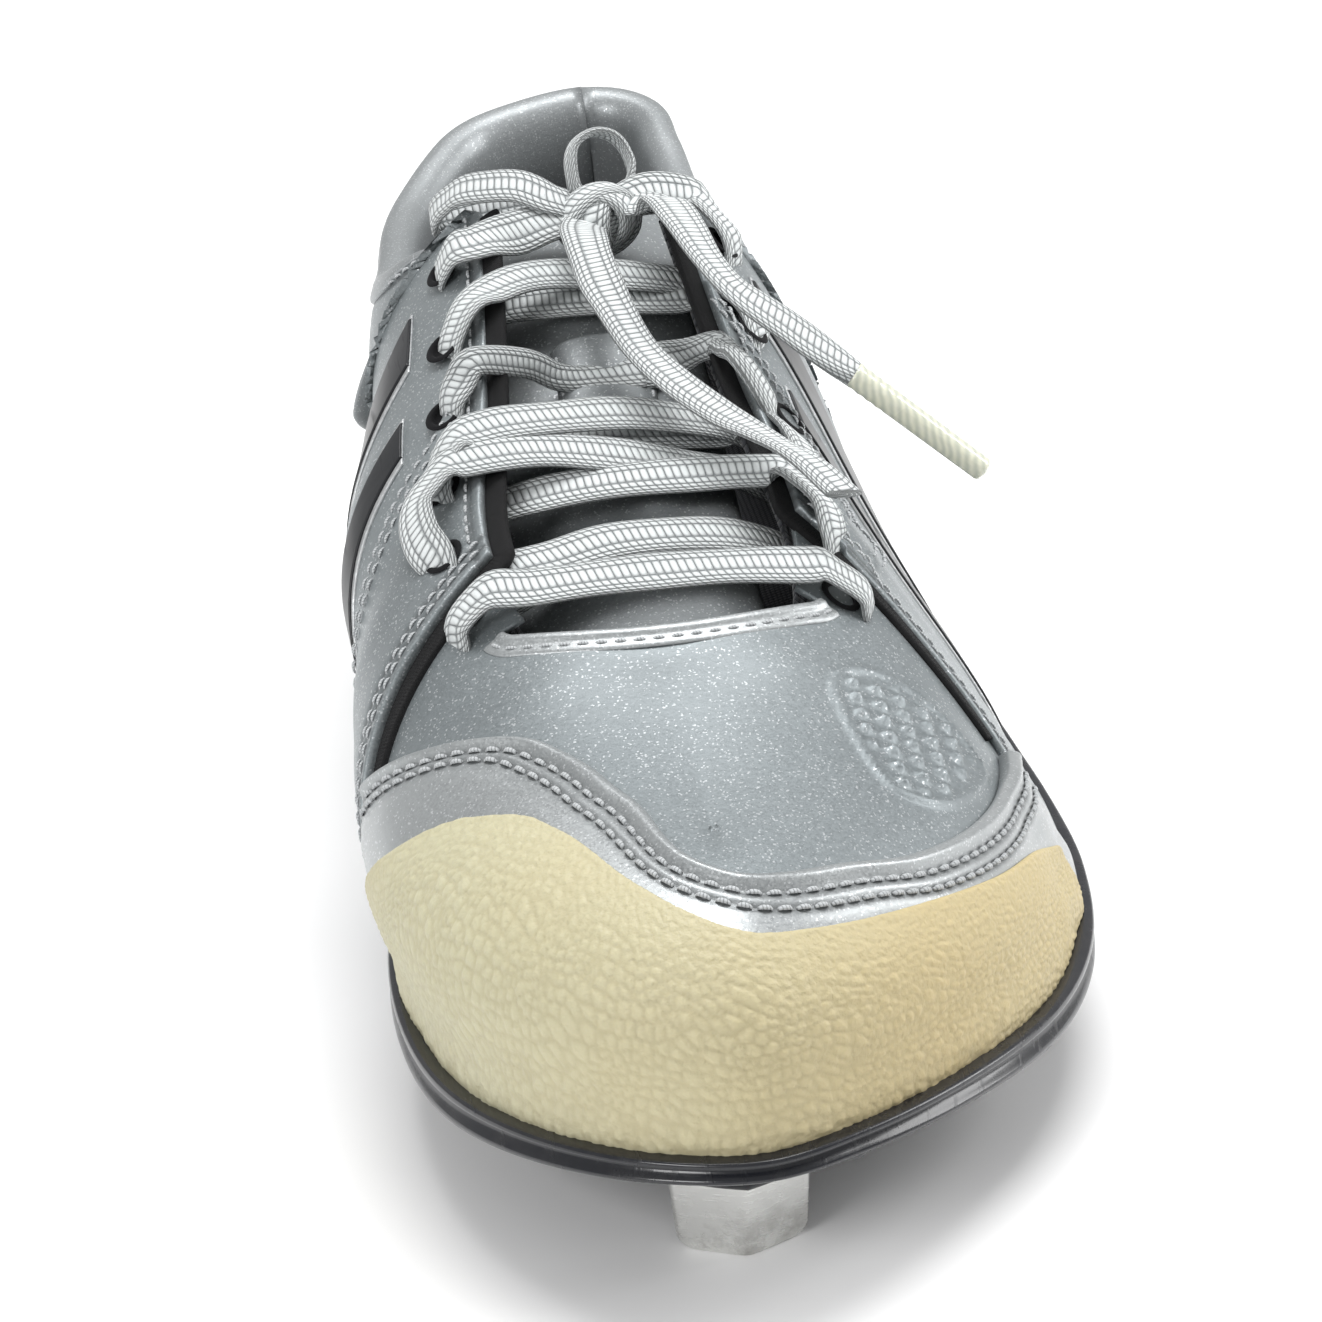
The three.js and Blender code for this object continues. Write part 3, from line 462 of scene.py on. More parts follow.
def sweep(name, frames, section, finish, **rest):
    """Profile (k, 2) carried along a path: frames hold centre, side and up for each step.

    Both ends are closed by a fan of triangles round the path's first and last point."""
    centre, side, up = frames
    shape = np.broadcast_to(section, (len(centre), *np.shape(section)[-2:]))
    points = centre[:, None] + side[:, None] * shape[..., :1] * MM + up[:, None] * shape[..., 1:] * MM
    steps, count = points.shape[:2]
    run = run_length(centre)
    around = np.linspace(0, 1, count)
    uv = np.stack(np.broadcast_arrays(run[:, None], around[None]), -1).reshape(-1, 2)
    first, last = steps * count, steps * count + 1
    points = np.concatenate([points.reshape(-1, 3), centre[:1], centre[-1:]])
    uv = np.concatenate([uv, uv[[0, -1]]])
    start = np.arange(count)
    end = start + (steps - 1) * count
    start_fan = np.stack([start, np.roll(start, -1), np.full(count, first), np.full(count, first)], -1)
    end_fan = np.stack([end, np.full(count, last), np.roll(end, -1), np.roll(end, -1)], -1)
    faces = [quads(steps, count, wrap=True), start_fan, end_fan]
    return make(name, points, np.concatenate(faces), finish, uv=uv, **rest)

# %% [markdown]
# The finishes come next. Each one starts from a Principled shader, and noise, cells and weave
# worked out in metres on the object's own coordinates give it grain, flakes and wear. Effects
# that several finishes share are node groups: they are built once and placed with other values.

# %% Node tools


def add(tree, kind, inputs=None, **settings):
    """A new node with its settings, and its inputs set to values or linked to sockets."""
    made = tree.nodes.new(kind)
    for key, value in settings.items():
        setattr(made, key, value)
    for key, value in (inputs or {}).items():
        if isinstance(value, bpy.types.NodeSocket):
            tree.links.new(value, made.inputs[key])
        else:
            made.inputs[key].default_value = value
    return made


def sums(tree, operation, a, b=0.0):
    """Result of a Math node."""
    return add(tree, "ShaderNodeMath", {0: a, 1: b}, operation=operation).outputs[0]


def remap(tree, value, low, high, to_low, to_high):
    """Value moved from one range to another, held at its ends."""
    inputs = {0: value, 1: low, 2: high, 3: to_low, 4: to_high}
    return add(tree, "ShaderNodeMapRange", inputs).outputs[0]


def colours(tree, share, a, b):
    """Mix of two colours."""
    return add(tree, "ShaderNodeMix", {0: share, 6: a, 7: b}, data_type="RGBA").outputs[2]


def group(name, inputs, outputs):
    """An empty node group with float or vector inputs and float outputs: (tree, in node, out node)."""
    tree = bpy.data.node_groups.new(name, "ShaderNodeTree")
    for label, value in inputs.items():
        kind = "NodeSocketVector" if value is None else "NodeSocketFloat"
        socket = tree.interface.new_socket(label, in_out="INPUT", socket_type=kind)
        if value is not None:
            socket.default_value = value
    for label in outputs:
        tree.interface.new_socket(label, in_out="OUTPUT", socket_type="NodeSocketFloat")
    return tree, tree.nodes.new("NodeGroupInput"), tree.nodes.new("NodeGroupOutput")


def finish(name, slot, **settings):
    """A material for a slot: (material, tree, shader, object coordinates)."""
    made = bpy.data.materials.new(name)
    made.use_nodes = True
    made["slot"] = slot
    shader = made.node_tree.nodes["Principled BSDF"]
    for key, value in settings.items():
        shader.inputs[key.replace("_", " ")].default_value = value
    place_in = add(made.node_tree, "ShaderNodeTexCoord").outputs["Object"]
    return made, made.node_tree, shader, place_in


def use(tree, made, **inputs):
    """A node group placed in a material."""
    spot = add(tree, "ShaderNodeGroup", node_tree=made)
    for key, value in inputs.items():
        if isinstance(value, bpy.types.NodeSocket):
            tree.links.new(value, spot.inputs[key])
        else:
            spot.inputs[key].default_value = value
    return spot.outputs


def raise_surface(tree, shader, height, distance):
    """Bump from a height of 0..1 that stands distance metres high."""
    bump = add(tree, "ShaderNodeBump", {"Height": height, "Distance": distance})
    tree.links.new(bump.outputs[0], shader.inputs["Normal"])


def paint(tree, shader, **sockets):
    """Links colours and masks to the shader's sockets."""
    for key, value in sockets.items():
        tree.links.new(value, shader.inputs[key.replace("_", " ")])


# %% Shared effects
grain, enter, leave = group("fine grain", {"Place": None, "Scale": 900.0}, ["Height", "Cloud"])
fine = add(grain, "ShaderNodeTexNoise",
           {"Vector": enter.outputs[0], "Scale": enter.outputs[1], "Detail": 3.0})
broad = add(grain, "ShaderNodeTexNoise", {"Vector": enter.outputs[0], "Scale": 22.0, "Detail": 4.0})
grain.links.new(fine.outputs[0], leave.inputs[0])
grain.links.new(remap(grain, broad.outputs[0], 0.3, 0.7, 0.0, 1.0), leave.inputs[1])

flakes, enter, leave = group("metal flakes", {"Place": None, "Scale": 2300.0}, ["Shade", "Glint"])
cells = add(flakes, "ShaderNodeTexVoronoi", {"Vector": enter.outputs[0], "Scale": enter.outputs[1]})
parts = add(flakes, "ShaderNodeSeparateColor", {0: cells.outputs["Color"]})
flakes.links.new(parts.outputs[0], leave.inputs[0])
flakes.links.new(remap(flakes, parts.outputs[1], 0.93, 0.96, 0.0, 1.0), leave.inputs[1])

dust, enter, leave = group("dust and scuffs", {"Place": None, "Height": 0.02, "Amount": 1.0}, ["Mask"])
low = add(dust, "ShaderNodeSeparateXYZ", {0: enter.outputs[0]}).outputs[2]
low = sums(dust, "SUBTRACT", 1.0,
           remap(dust, sums(dust, "DIVIDE", low, enter.outputs[1]), 0.2, 1.6, 0.0, 1.0))
specks = add(dust, "ShaderNodeTexNoise",
             {"Vector": enter.outputs[0], "Scale": 160.0, "Detail": 6.0, "Roughness": 0.7})
specks = remap(dust, specks.outputs[0], 0.46, 0.72, 0.0, 1.0)
settled = sums(dust, "MULTIPLY", low, specks)
dust.links.new(sums(dust, "MULTIPLY", settled, enter.outputs[2]), leave.inputs[0])

weave, enter, leave = group("woven ribs", {"Place": None, "Pitch": 0.001, "Run": 0.001}, ["Height", "Gap"])
axes = add(weave, "ShaderNodeSeparateXYZ", {0: enter.outputs[0]})
column = sums(weave, "DIVIDE", axes.outputs[1], enter.outputs[1])
inside = sums(weave, "FRACT", column)
odd = sums(weave, "MULTIPLY", sums(weave, "MODULO", sums(weave, "FLOOR", column), 2.0), 0.5)
slant = sums(weave, "MULTIPLY", inside, 0.5)
row = sums(weave, "ADD",
           sums(weave, "ADD", sums(weave, "DIVIDE", axes.outputs[0], enter.outputs[2]), odd), slant)
stitch = sums(weave, "SINE", sums(weave, "MULTIPLY", sums(weave, "FRACT", row), np.pi))
rib = sums(weave, "SINE", sums(weave, "MULTIPLY", inside, np.pi))
body = sums(weave, "MULTIPLY", sums(weave, "POWER", stitch, 0.5), sums(weave, "POWER", rib, 0.6))
weave.links.new(body, leave.inputs[0])
weave.links.new(remap(weave, body, 0.25, 0.75, 1.0, 0.0), leave.inputs[1])

# %% [markdown]
# The silver is cloth coated with a film full of aluminium flakes. Seen close it isn't one colour:
# every flake lies at its own angle, so single cells are brighter or darker, a few of them glint,
# and creases and rubbed places go paler. A half metallic shader with cells about a quarter of a
# millimetre wide gives that, where plain metal would look like foil.
# The glints are painted highlights: the rarest flake cells are mixed towards near white in the base colour.

# %% Silver finishes


def silver(name, slot, dark, light, rough, scale=3800.0, grit=0.00005, metal=0.55):
    """Flaked silver: colour = dark to light by cloud and cell, roughness falls where flakes glint."""
    made, tree, shader, spot = finish(name, slot, Metallic=metal, Roughness=rough)
    shader.inputs["Coat Weight"].default_value = 0.15
    shader.inputs["Coat Roughness"].default_value = 0.35
    height, cloud = use(tree, grain, Place=spot, Scale=1300.0)
    shade, glint = use(tree, flakes, Place=spot, Scale=scale)
    base = colours(tree, sums(tree, "MULTIPLY", cloud, 0.45), (*dark, 1), (*light, 1))
    base = colours(tree, remap(tree, shade, 0.0, 1.0, 0.0, 0.4), base, (*light, 1))
    # painted highlight: glinting flake cells mixed towards near white in the base colour
    base = colours(tree, sums(tree, "MULTIPLY", glint, 0.4), base, (0.8, 0.82, 0.84, 1))
    # painted shade: the stitch troughs darkened nearly to black
    groove_shade = add(tree, "ShaderNodeAttribute", attribute_name="groove_shade").outputs["Fac"]
    base = colours(tree, sums(tree, "MULTIPLY", groove_shade, 0.55), base, (0.05, 0.053, 0.055, 1))
    worn = use(tree, dust, Place=spot, Height=0.03, Amount=0.35)[0]
    base = colours(tree, worn, base, (0.42, 0.4, 0.34, 1))
    roughness = remap(tree, sums(tree, "SUBTRACT", shade, glint), 0.0, 1.0, rough - 0.08, rough + 0.1)
    paint(tree, shader, Base_Color=base, Roughness=roughness)
    raise_surface(tree, shader, sums(tree, "ADD", height, sums(tree, "MULTIPLY", shade, 0.6)), grit)
    return made


silver_vamp = silver("silver vamp", "silver_leather", (0.14, 0.16, 0.168), (0.3, 0.33, 0.34), 0.46)
silver_side = silver("silver quarter", "silver_leather", (0.16, 0.18, 0.188), (0.34, 0.37, 0.38), 0.44)
silver_strip = silver("silver strip", "silver_leather", (0.25, 0.265, 0.27), (0.46, 0.48, 0.485), 0.36)
silver_smooth = silver("silver lining leather", "silver_leather", (0.24, 0.255, 0.26),
                       (0.36, 0.38, 0.39), 0.42, 5200.0, 0.00003)
silver_tongue = silver("silver tongue", "silver_leather", (0.19, 0.205, 0.21), (0.35, 0.37, 0.38), 0.5)
silver_edge = silver("silver rolled edge", "silver_leather", (0.36, 0.37, 0.38), (0.6, 0.61, 0.61), 0.4,
                     1500.0, 0.00012)

# %% [markdown]
# The toe guard is cast polyurethane: matt and cream, with a painted shade across it, paler and greyer
# towards the medial side and darker and yellower towards the lateral side, over a random cloudy tone.
# Its pebbles are real geometry, made further down. The shader only adds the skin's fine tooth, painted
# shade in the hollows between the pebbles, and dust near the sole.

# %% Cream guard
cream_guard, tree, shader, spot = finish("cream guard", "cream_guard", Roughness=0.55)
shader.inputs["Specular IOR Level"].default_value = 0.35
shader.inputs["Subsurface Weight"].default_value = 0.06
shader.inputs["Subsurface Radius"].default_value = (0.004, 0.003, 0.0015)
shader.inputs["Subsurface Scale"].default_value = 0.3
height, cloud = use(tree, grain, Place=spot, Scale=1500.0)
pits = add(tree, "ShaderNodeTexVoronoi", {"Vector": spot, "Scale": 950.0}, feature="SMOOTH_F1")
height = sums(tree, "ADD", height, pits.outputs["Distance"])
# painted shade: the colour runs darker and yellower towards the lateral side (+x), with a random cloudy
# tone on top
side_shade_and_tone = add(tree, "ShaderNodeSeparateXYZ", {0: spot}).outputs[0]
side_shade_and_tone = sums(tree, "ADD", remap(tree, side_shade_and_tone, -0.045, 0.02, 0.0, 0.75), sums(tree, "MULTIPLY", cloud, 0.25))
base = colours(tree, side_shade_and_tone, (0.5, 0.485, 0.34, 1), (0.5, 0.41, 0.22, 1))
# painted shade: the hollows between the pebbles darkened
hollow_shade = add(tree, "ShaderNodeAttribute", attribute_name="hollow_shade").outputs["Fac"]
base = colours(tree, sums(tree, "MULTIPLY", hollow_shade, 0.3), base, (0.3, 0.25, 0.14, 1))
grime = use(tree, dust, Place=spot, Height=0.024, Amount=0.5)[0]
base = colours(tree, grime, base, (0.3, 0.26, 0.18, 1))
paint(tree, shader, Base_Color=base, Roughness=remap(tree, cloud, 0.0, 1.0, 0.42, 0.56))
raise_surface(tree, shader, height, 0.00022)

# %% [markdown]
# The outsole and the spike seats are glossy moulded plastic, nearly black with a trace of navy.
# A gloss this deep shows everything, so fine scuffs in the roughness and pale dust in the low
# places do more for it than colour. The seats get their own cast, a little cleaner.

# %% Black plastics


def black_gloss(name, slot, dusting, rough, tint, coat=0.25):
    """Black plastic: roughness from scratches and dust, colour lifted where dust lies."""
    made, tree, shader, spot = finish(name, slot, Roughness=rough)
    shader.inputs["Coat Weight"].default_value = coat
    shader.inputs["Coat Roughness"].default_value = 0.08
    shader.inputs["Specular IOR Level"].default_value = 0.4
    height, cloud = use(tree, grain, Place=spot, Scale=420.0)
    stretched = add(tree, "ShaderNodeMapping", {"Vector": spot, "Scale": (900, 60, 300)})
    scratch = add(tree, "ShaderNodeTexNoise", {"Vector": stretched.outputs[0], "Scale": 1.0, "Detail": 2.0})
    scratch = remap(tree, scratch.outputs[0], 0.62, 0.72, 0.0, 1.0)
    dirt = use(tree, dust, Place=spot, Height=0.03, Amount=dusting)[0]
    base = colours(tree, sums(tree, "MULTIPLY", dirt, 0.35), (*tint, 1), (0.13, 0.125, 0.115, 1))
    roughness = sums(tree, "ADD", remap(tree, cloud, 0.0, 1.0, rough - 0.05, rough + 0.06),
                     sums(tree, "MULTIPLY", dirt, 0.3))
    roughness = sums(tree, "ADD", roughness, sums(tree, "MULTIPLY", scratch, 0.12))
    paint(tree, shader, Base_Color=base, Roughness=roughness)
    raise_surface(tree, shader, sums(tree, "ADD", height, scratch), 0.00002)
    return made


black_plastic = black_gloss("black outsole plastic", "black_plastic", 0.5, 0.2, (0.0075, 0.0085, 0.0125))
seat_plastic = black_gloss("black seat plastic", "black_plastic", 0.3, 0.13, (0.006, 0.007, 0.011))
black_band = black_gloss("black side band", "black_band", 0.1, 0.3, (0.008, 0.009, 0.011), 0.0)

# %% [markdown]
# The blades are stamped steel with a bright finish. Wear shows as long fine scratches and duller
# tips. The shank inside is plain spring steel, rougher and bluer.

# %% Steels


def steel(name, slot, tone, rough, dull):
    """Metal with stretched scratch noise in its roughness and a tip that dulls towards the ground."""
    made, tree, shader, spot = finish(name, slot, Metallic=1.0, Roughness=rough)
    stretched = add(tree, "ShaderNodeMapping", {"Vector": spot, "Scale": (400, 400, 3500)})
    lines = add(tree, "ShaderNodeTexNoise", {"Vector": stretched.outputs[0], "Scale": 1.0, "Detail": 3.0})
    worn = use(tree, dust, Place=spot, Height=0.006, Amount=dull)[0]
    base = colours(tree, worn, (*tone, 1), (0.3, 0.29, 0.27, 1))
    roughness = sums(tree, "ADD", remap(tree, lines.outputs[0], 0.3, 0.7, rough - 0.06, rough + 0.1),
                     sums(tree, "MULTIPLY", worn, 0.3))
    paint(tree, shader, Base_Color=base, Roughness=roughness)
    raise_surface(tree, shader, lines.outputs[0], 0.00002)
    return made


blade_steel = steel("bright blade steel", "blade_steel", (0.76, 0.76, 0.74), 0.2, 0.8)
shank_steel = steel("spring steel", "shank_steel", (0.42, 0.44, 0.48), 0.38, 0.2)

# %% [markdown]
# Cloth and thread: a dark knitted lining, a napped sock cloth, the pale braid of the laces and
# the sewing thread. Their weave runs along the piece, so it reads the piece's own UV map, which
# is in metres along and across the cloth.

# %% Cloths


def cloth(name, slot, deep, pale, pitch, run, relief, rough=0.85, fuzz=0.3):
    """Woven or knitted cloth: ribs of a pitch, stitches of a run, darker in the gaps, with sheen."""
    made, tree, shader, spot = finish(name, slot, Roughness=rough)
    shader.inputs["Sheen Weight"].default_value = fuzz
    shader.inputs["Sheen Roughness"].default_value = 0.4
    shader.inputs["Specular IOR Level"].default_value = 0.25
    flat = add(tree, "ShaderNodeUVMap", uv_map="UVMap").outputs[0]
    height, gap = use(tree, weave, Place=flat, Pitch=pitch, Run=run)
    fibre, cloud = use(tree, grain, Place=spot, Scale=5200.0)
    base = colours(tree, gap, (*pale, 1), (*deep, 1))
    base = colours(tree, sums(tree, "MULTIPLY", cloud, 0.25), base, (*deep, 1))
    base = colours(tree, remap(tree, fibre, 0.5, 0.8, 0.0, 0.3), base, (*pale, 1))
    paint(tree, shader, Base_Color=base, Roughness=remap(tree, gap, 0.0, 1.0, rough - 0.1, rough + 0.1))
    raise_surface(tree, shader, sums(tree, "ADD", height, sums(tree, "MULTIPLY", fibre, 0.25)), relief)
    return made


lining_cloth = cloth("charcoal lining", "lining_fabric", (0.012, 0.013, 0.016), (0.06, 0.063, 0.07),
                     0.0011, 0.0016, 0.0003)
sock_cloth = cloth("sock cloth", "sock_fabric", (0.02, 0.021, 0.025), (0.09, 0.093, 0.1), 0.0008, 0.0008,
                   0.00015, 0.9)
lace_braid = cloth("lace braid", "lace", (0.22, 0.235, 0.24), (0.72, 0.75, 0.75), 0.059, 0.0012, 0.0004,
                   0.7, 0.15)
thread = cloth("sewing thread", "lace", (0.2, 0.21, 0.215), (0.5, 0.52, 0.53), 0.5, 0.0007, 0.0001, 0.6)
# dark binding cloth; the same dark finish paints shade in the eyelet holes and the shadow strip down each
# quarter's front edge
dark_binding_and_shade = cloth("dark binding and painted shade", "lining_fabric", (0.003, 0.003, 0.004), (0.016, 0.016, 0.018), 0.0009,
                  0.0012, 0.0002, 0.8, 0.03)

# %% Foam, board and aglet
foam, tree, shader, spot = finish("grey foam", "foam", Roughness=0.95)
bubbles = add(tree, "ShaderNodeTexVoronoi", {"Vector": spot, "Scale": 1800.0})
pale = colours(tree, bubbles.outputs["Distance"], (0.1, 0.1, 0.11, 1), (0.28, 0.28, 0.29, 1))
paint(tree, shader, Base_Color=pale)
raise_surface(tree, shader, bubbles.outputs["Distance"], 0.0002)

board, tree, shader, spot = finish("fibre board", "board", Roughness=0.9)
height, cloud = use(tree, grain, Place=spot, Scale=700.0)
paint(tree, shader, Base_Color=colours(tree, height, (0.2, 0.15, 0.09, 1), (0.42, 0.34, 0.22, 1)))
raise_surface(tree, shader, height, 0.0002)

aglet_plastic, tree, shader, spot = finish("clear aglet", "aglet_plastic", Roughness=0.28)
shader.inputs["Coat Weight"].default_value = 0.5
shader.inputs["Subsurface Weight"].default_value = 0.3
shader.inputs["Subsurface Radius"].default_value = (0.003, 0.003, 0.002)
height, cloud = use(tree, grain, Place=spot, Scale=1200.0)
ribs = add(tree, "ShaderNodeTexWave", {"Vector": spot, "Scale": 260.0, "Distortion": 4.0, "Detail": 2.0})
base = colours(tree, ribs.outputs["Fac"], (0.5, 0.52, 0.43, 1), (0.66, 0.66, 0.54, 1))
paint(tree, shader, Base_Color=base, Roughness=remap(tree, cloud, 0.0, 1.0, 0.2, 0.4))
raise_surface(tree, shader, height, 0.00005)
print("finishes:", len(bpy.data.materials), "shared effects:", len(bpy.data.node_groups))

# %% [markdown]
# The vamp is the sheet over the toes. It runs from one quarter to the other, over the ridge in
# front of the laces, and ends at the lace opening in a shallow curve, the throat. Its grid welds
# to itself along the ridge. The lateral side carries a rounded patch of raised dots.

# %% Grids on the skin


def throat_line(x):
    """Station of the vamp's rear edge: furthest forward in the middle, 6 mm further back at the sides."""
    return 209.5 - 6 * ((x + 8.5) / 22) ** 2


def vamp_opening(p):
    """Whether points lie behind the vamp's edges."""
    s, x = p[..., 0], p[..., 1]
    behind_throat = (s < throat_line(x)) & (s > 200) & (np.abs(x - ridge_x(s)) < 24)
    return in_opening(p) & (s < 203) | behind_throat


def columns_and_rows(us, tops, levels):
    """Grid of the skin: rows of u, each with levels from 0 to its own top."""
    return skin(us[:, None], tops[:, None] * levels[None])


behind_u, throat_u = (float(u_at("lateral", s)) for s in (200, 211))
half = np.concatenate([np.linspace(0.5, behind_u, 40)[:-1], np.linspace(behind_u, throat_u, 50)[:-1],
                       np.linspace(throat_u, 1, 130)])
vamp_u = np.concatenate([half, (2 - half[::-1])[1:]])
vamp_top = crossing(lambda h: vamp_opening(skin(vamp_u, h)), 0.1 + 0 * vamp_u, 1 + 0 * vamp_u)
ON_RIDGE = 0.9999
levels = np.concatenate([np.linspace(0, 0.97, 90), [0.98, 0.988, 0.994, 0.998, 1]])
grid = columns_and_rows(vamp_u, vamp_top, levels)
grid[:, -1] = np.where(vamp_top[:, None] > ON_RIDGE, (grid[:, -1] + grid[::-1, -1]) / 2, grid[:, -1])

PATCH = spline([(217, 15), (213, 22), (214, 29), (220, 35), (230, 32), (239, 25), (240, 19), (229, 15)],
               60, closed=True)[:-1]
inside = polygon_inside(grid[..., 0], grid[..., 1], PATCH)
a, b = grid[..., 0] + grid[..., 1], grid[..., 0] - grid[..., 1]
DOT_PITCH = 3.4
dots = np.cos(np.pi * a / DOT_PITCH) * np.cos(np.pi * b / DOT_PITCH)
relief = 1.0 * ease(dots, 0.1, 0.9) * ease(inside, 0.6, 2.2) + 0.7 * np.exp(-((inside / 0.5) ** 2))
crease = 0.25 * np.sin(grid[..., 1] / 5 + 0.5) * np.exp(-(((grid[..., 0] - 214) / 5) ** 2)) * (inside < -1)
VAMP_LIFT = -1.3
shell("vamp", grid, VAMP_LIFT, 1.0, silver_vamp, relief=relief + crease, ridge=True, borders=(1, 1, 0, 0),
      foot=2.0, stands_for=["vamp"])
print("vamp grid:", grid.shape)

# %% [markdown]
# Each quarter is one side of the shoe, from the back seam to a slanted front edge that lies over
# the vamp. The grid's columns fan from the heel to that edge, and its rows follow the opening's
# edge, so the row of stitches beside the laces and the collar is simply a row at a set distance.
# In front of a seam that swings down from the lace opening a second layer, the eyestay, lies over
# the quarter. It is a step in the same surface, and the side bands run in under it.

# %% Quarters
QUARTER_FRONT = {"lateral": (181, 216), "medial": (186, 222)}
SEAM_GAP = 0.0012
U_PER_MM = 0.0031


def quarter_grid(side, across, up):
    """Points of a quarter: u eased from the seam to the front edge, h up to the opening."""
    start = SEAM_GAP if side == "lateral" else 2 - SEAM_GAP
    top, low = (float(u_at(side, s)) for s in QUARTER_FRONT[side])
    a, b = np.meshgrid(across, up, indexing="ij")
    u = start + (low + (top - low) * b - start) * a
    u, b = (u, b) if side == "lateral" else (u[::-1], b[::-1])
    return skin(u, opening_edge(u) * b)


EYESTAY = {"medial": [(139, 0), (147, 7.4), (152, 11.3), (156.4, 17), (161.3, 22), (165.2, 27),
                      (171, 38), (178, 54)],
           "lateral": [(128, 0), (138, 7), (150, 12), (162, 15), (172, 15), (179, 13), (183, 10)]}
EYESTAY_STEP = 0.95
for side in ("lateral", "medial"):
    grid = quarter_grid(side, crowded(330, 0.006), crowded(96, 0.02))
    seam, front = (1, 0) if side == "medial" else (0, 1)
    down = border_distance(in_frame(grid))[3]
    reach = smooth_table(EYESTAY[side])(grid[..., 0]) - down
    overlay = EYESTAY_STEP * ease(reach, -0.5, 0.5) * (grid[..., 0] > EYESTAY[side][0][0])
    wrinkle = 0.16 * np.sin(grid[..., 0] / 2.6 + grid[..., 2]
                            / 7) * np.exp(-(((grid[..., 0] - 176) / 16) ** 2))
    shell("quarter_" + side, grid, 0.0, 1.2, silver_side, 0.55, overlay + wrinkle,
          [(3, 2.6, 0.25), (front, 2.6, 0.25), (front, 4.8, 0.2)], (1, 1, 0, 1), foot=2.4,
          stands_for=["quarter_" + side])

# %% [markdown]
# Stitches are what make a shoe look sewn. Each is a short rounded thread that dips into the
# leather at both ends. One helper lays them at an even pitch along any line on the skin.

# %% Stitching


def on_skin(us, hs, lift):
    """Frame points and outward normals of the skin at (u, h), raised by lift mm."""
    p = in_frame(skin(us, hs))
    up = in_frame(skin(us, hs + 0.004)) - in_frame(skin(us, hs - 0.004))
    along = in_frame(skin(us + 0.002, hs)) - in_frame(skin(us - 0.002, hs))
    n = unit(np.cross(up, along))
    return p + n * np.asarray(lift)[..., None] * MM, n


STITCH_RINGS = 6
STITCH_SIDES = 6
STITCH_FACES = (STITCH_RINGS - 1) * STITCH_SIDES + 4


def stitch_row(points, normals, pitch=2.5, share=0.74, width=0.62):
    """Points and faces of a row of threads: an arch per stitch, six-sided, tapering at its ends."""
    run = run_length(points) / MM
    count = max(int(run[-1] / pitch), 1)
    start = (np.arange(count) + (1 - share) / 2) * run[-1] / count
    t = np.linspace(0, 1, STITCH_RINGS)
    at = start[:, None] + t[None] * share * run[-1] / count
    centre = np.stack([np.interp(at, run, points[:, k]) for k in range(3)], -1)
    normal = unit(np.stack([np.interp(at, run, normals[:, k]) for k in range(3)], -1))
    along = unit(np.gradient(centre, axis=1))
    side = unit(np.cross(along, normal))
    arch = (np.sin(np.pi * t) ** 0.5 * 0.5 - 0.32)[None, :, None]
    girth = (0.25 + 0.75 * np.sin(np.pi * np.clip(t, 0.04, 0.96)) ** 0.4)[None, :, None]
    turn = np.arange(STITCH_SIDES) * np.pi / 3
    ring = side[:, :, None] * np.cos(turn)[:, None] * girth[..., None]
    ring = ring + normal[:, :, None] * (np.sin(turn)[:, None] * 0.7 * girth[..., None])
    points = (centre + normal * arch * width * MM)[:, :, None] + ring * width / 2 * MM
    index = np.arange(count * STITCH_RINGS * STITCH_SIDES).reshape(count, STITCH_RINGS, STITCH_SIDES)
    nxt = np.roll(index, -1, 2)
    faces = np.stack([index[:, :-1], nxt[:, :-1], nxt[:, 1:], index[:, 1:]], -1).reshape(-1, 4)
    first, last = index[:, 0], index[:, -1]
    ends = [first[:, [0, 5, 4, 3]], first[:, [0, 3, 2, 1]], last[:, [0, 1, 2, 3]], last[:, [0, 3, 4, 5]]]
    return points.reshape(-1, 3), np.concatenate([faces, *ends])


def stitches(name, rows, body="shoe", **size):
    """One piece from several rows of stitches, each (points, normals)."""
    made = [stitch_row(p, n, **size) for p, n in rows]
    offsets = np.cumsum([0] + [len(p) for p, f in made])
    faces = np.concatenate([f + o for (p, f), o in zip(made, offsets)])
    points = np.concatenate([p for p, f in made])
    uv = np.stack([np.arange(len(points)) * 0.0001, np.full(len(points), 0.25)], -1)
    make(name, points, faces, thread, body, uv=uv, weld=False)
    print(name, len(faces) // STITCH_FACES, "stitches")


def inside_line(us, hs, distance):
    """The line that runs at a distance in mm below a line on the skin, found by walking down h."""
    p = skin(us, hs)
    return crossing(lambda h: np.linalg.norm(skin(us, h) - p, axis=-1) < distance, 0.02 + 0 * us, hs)


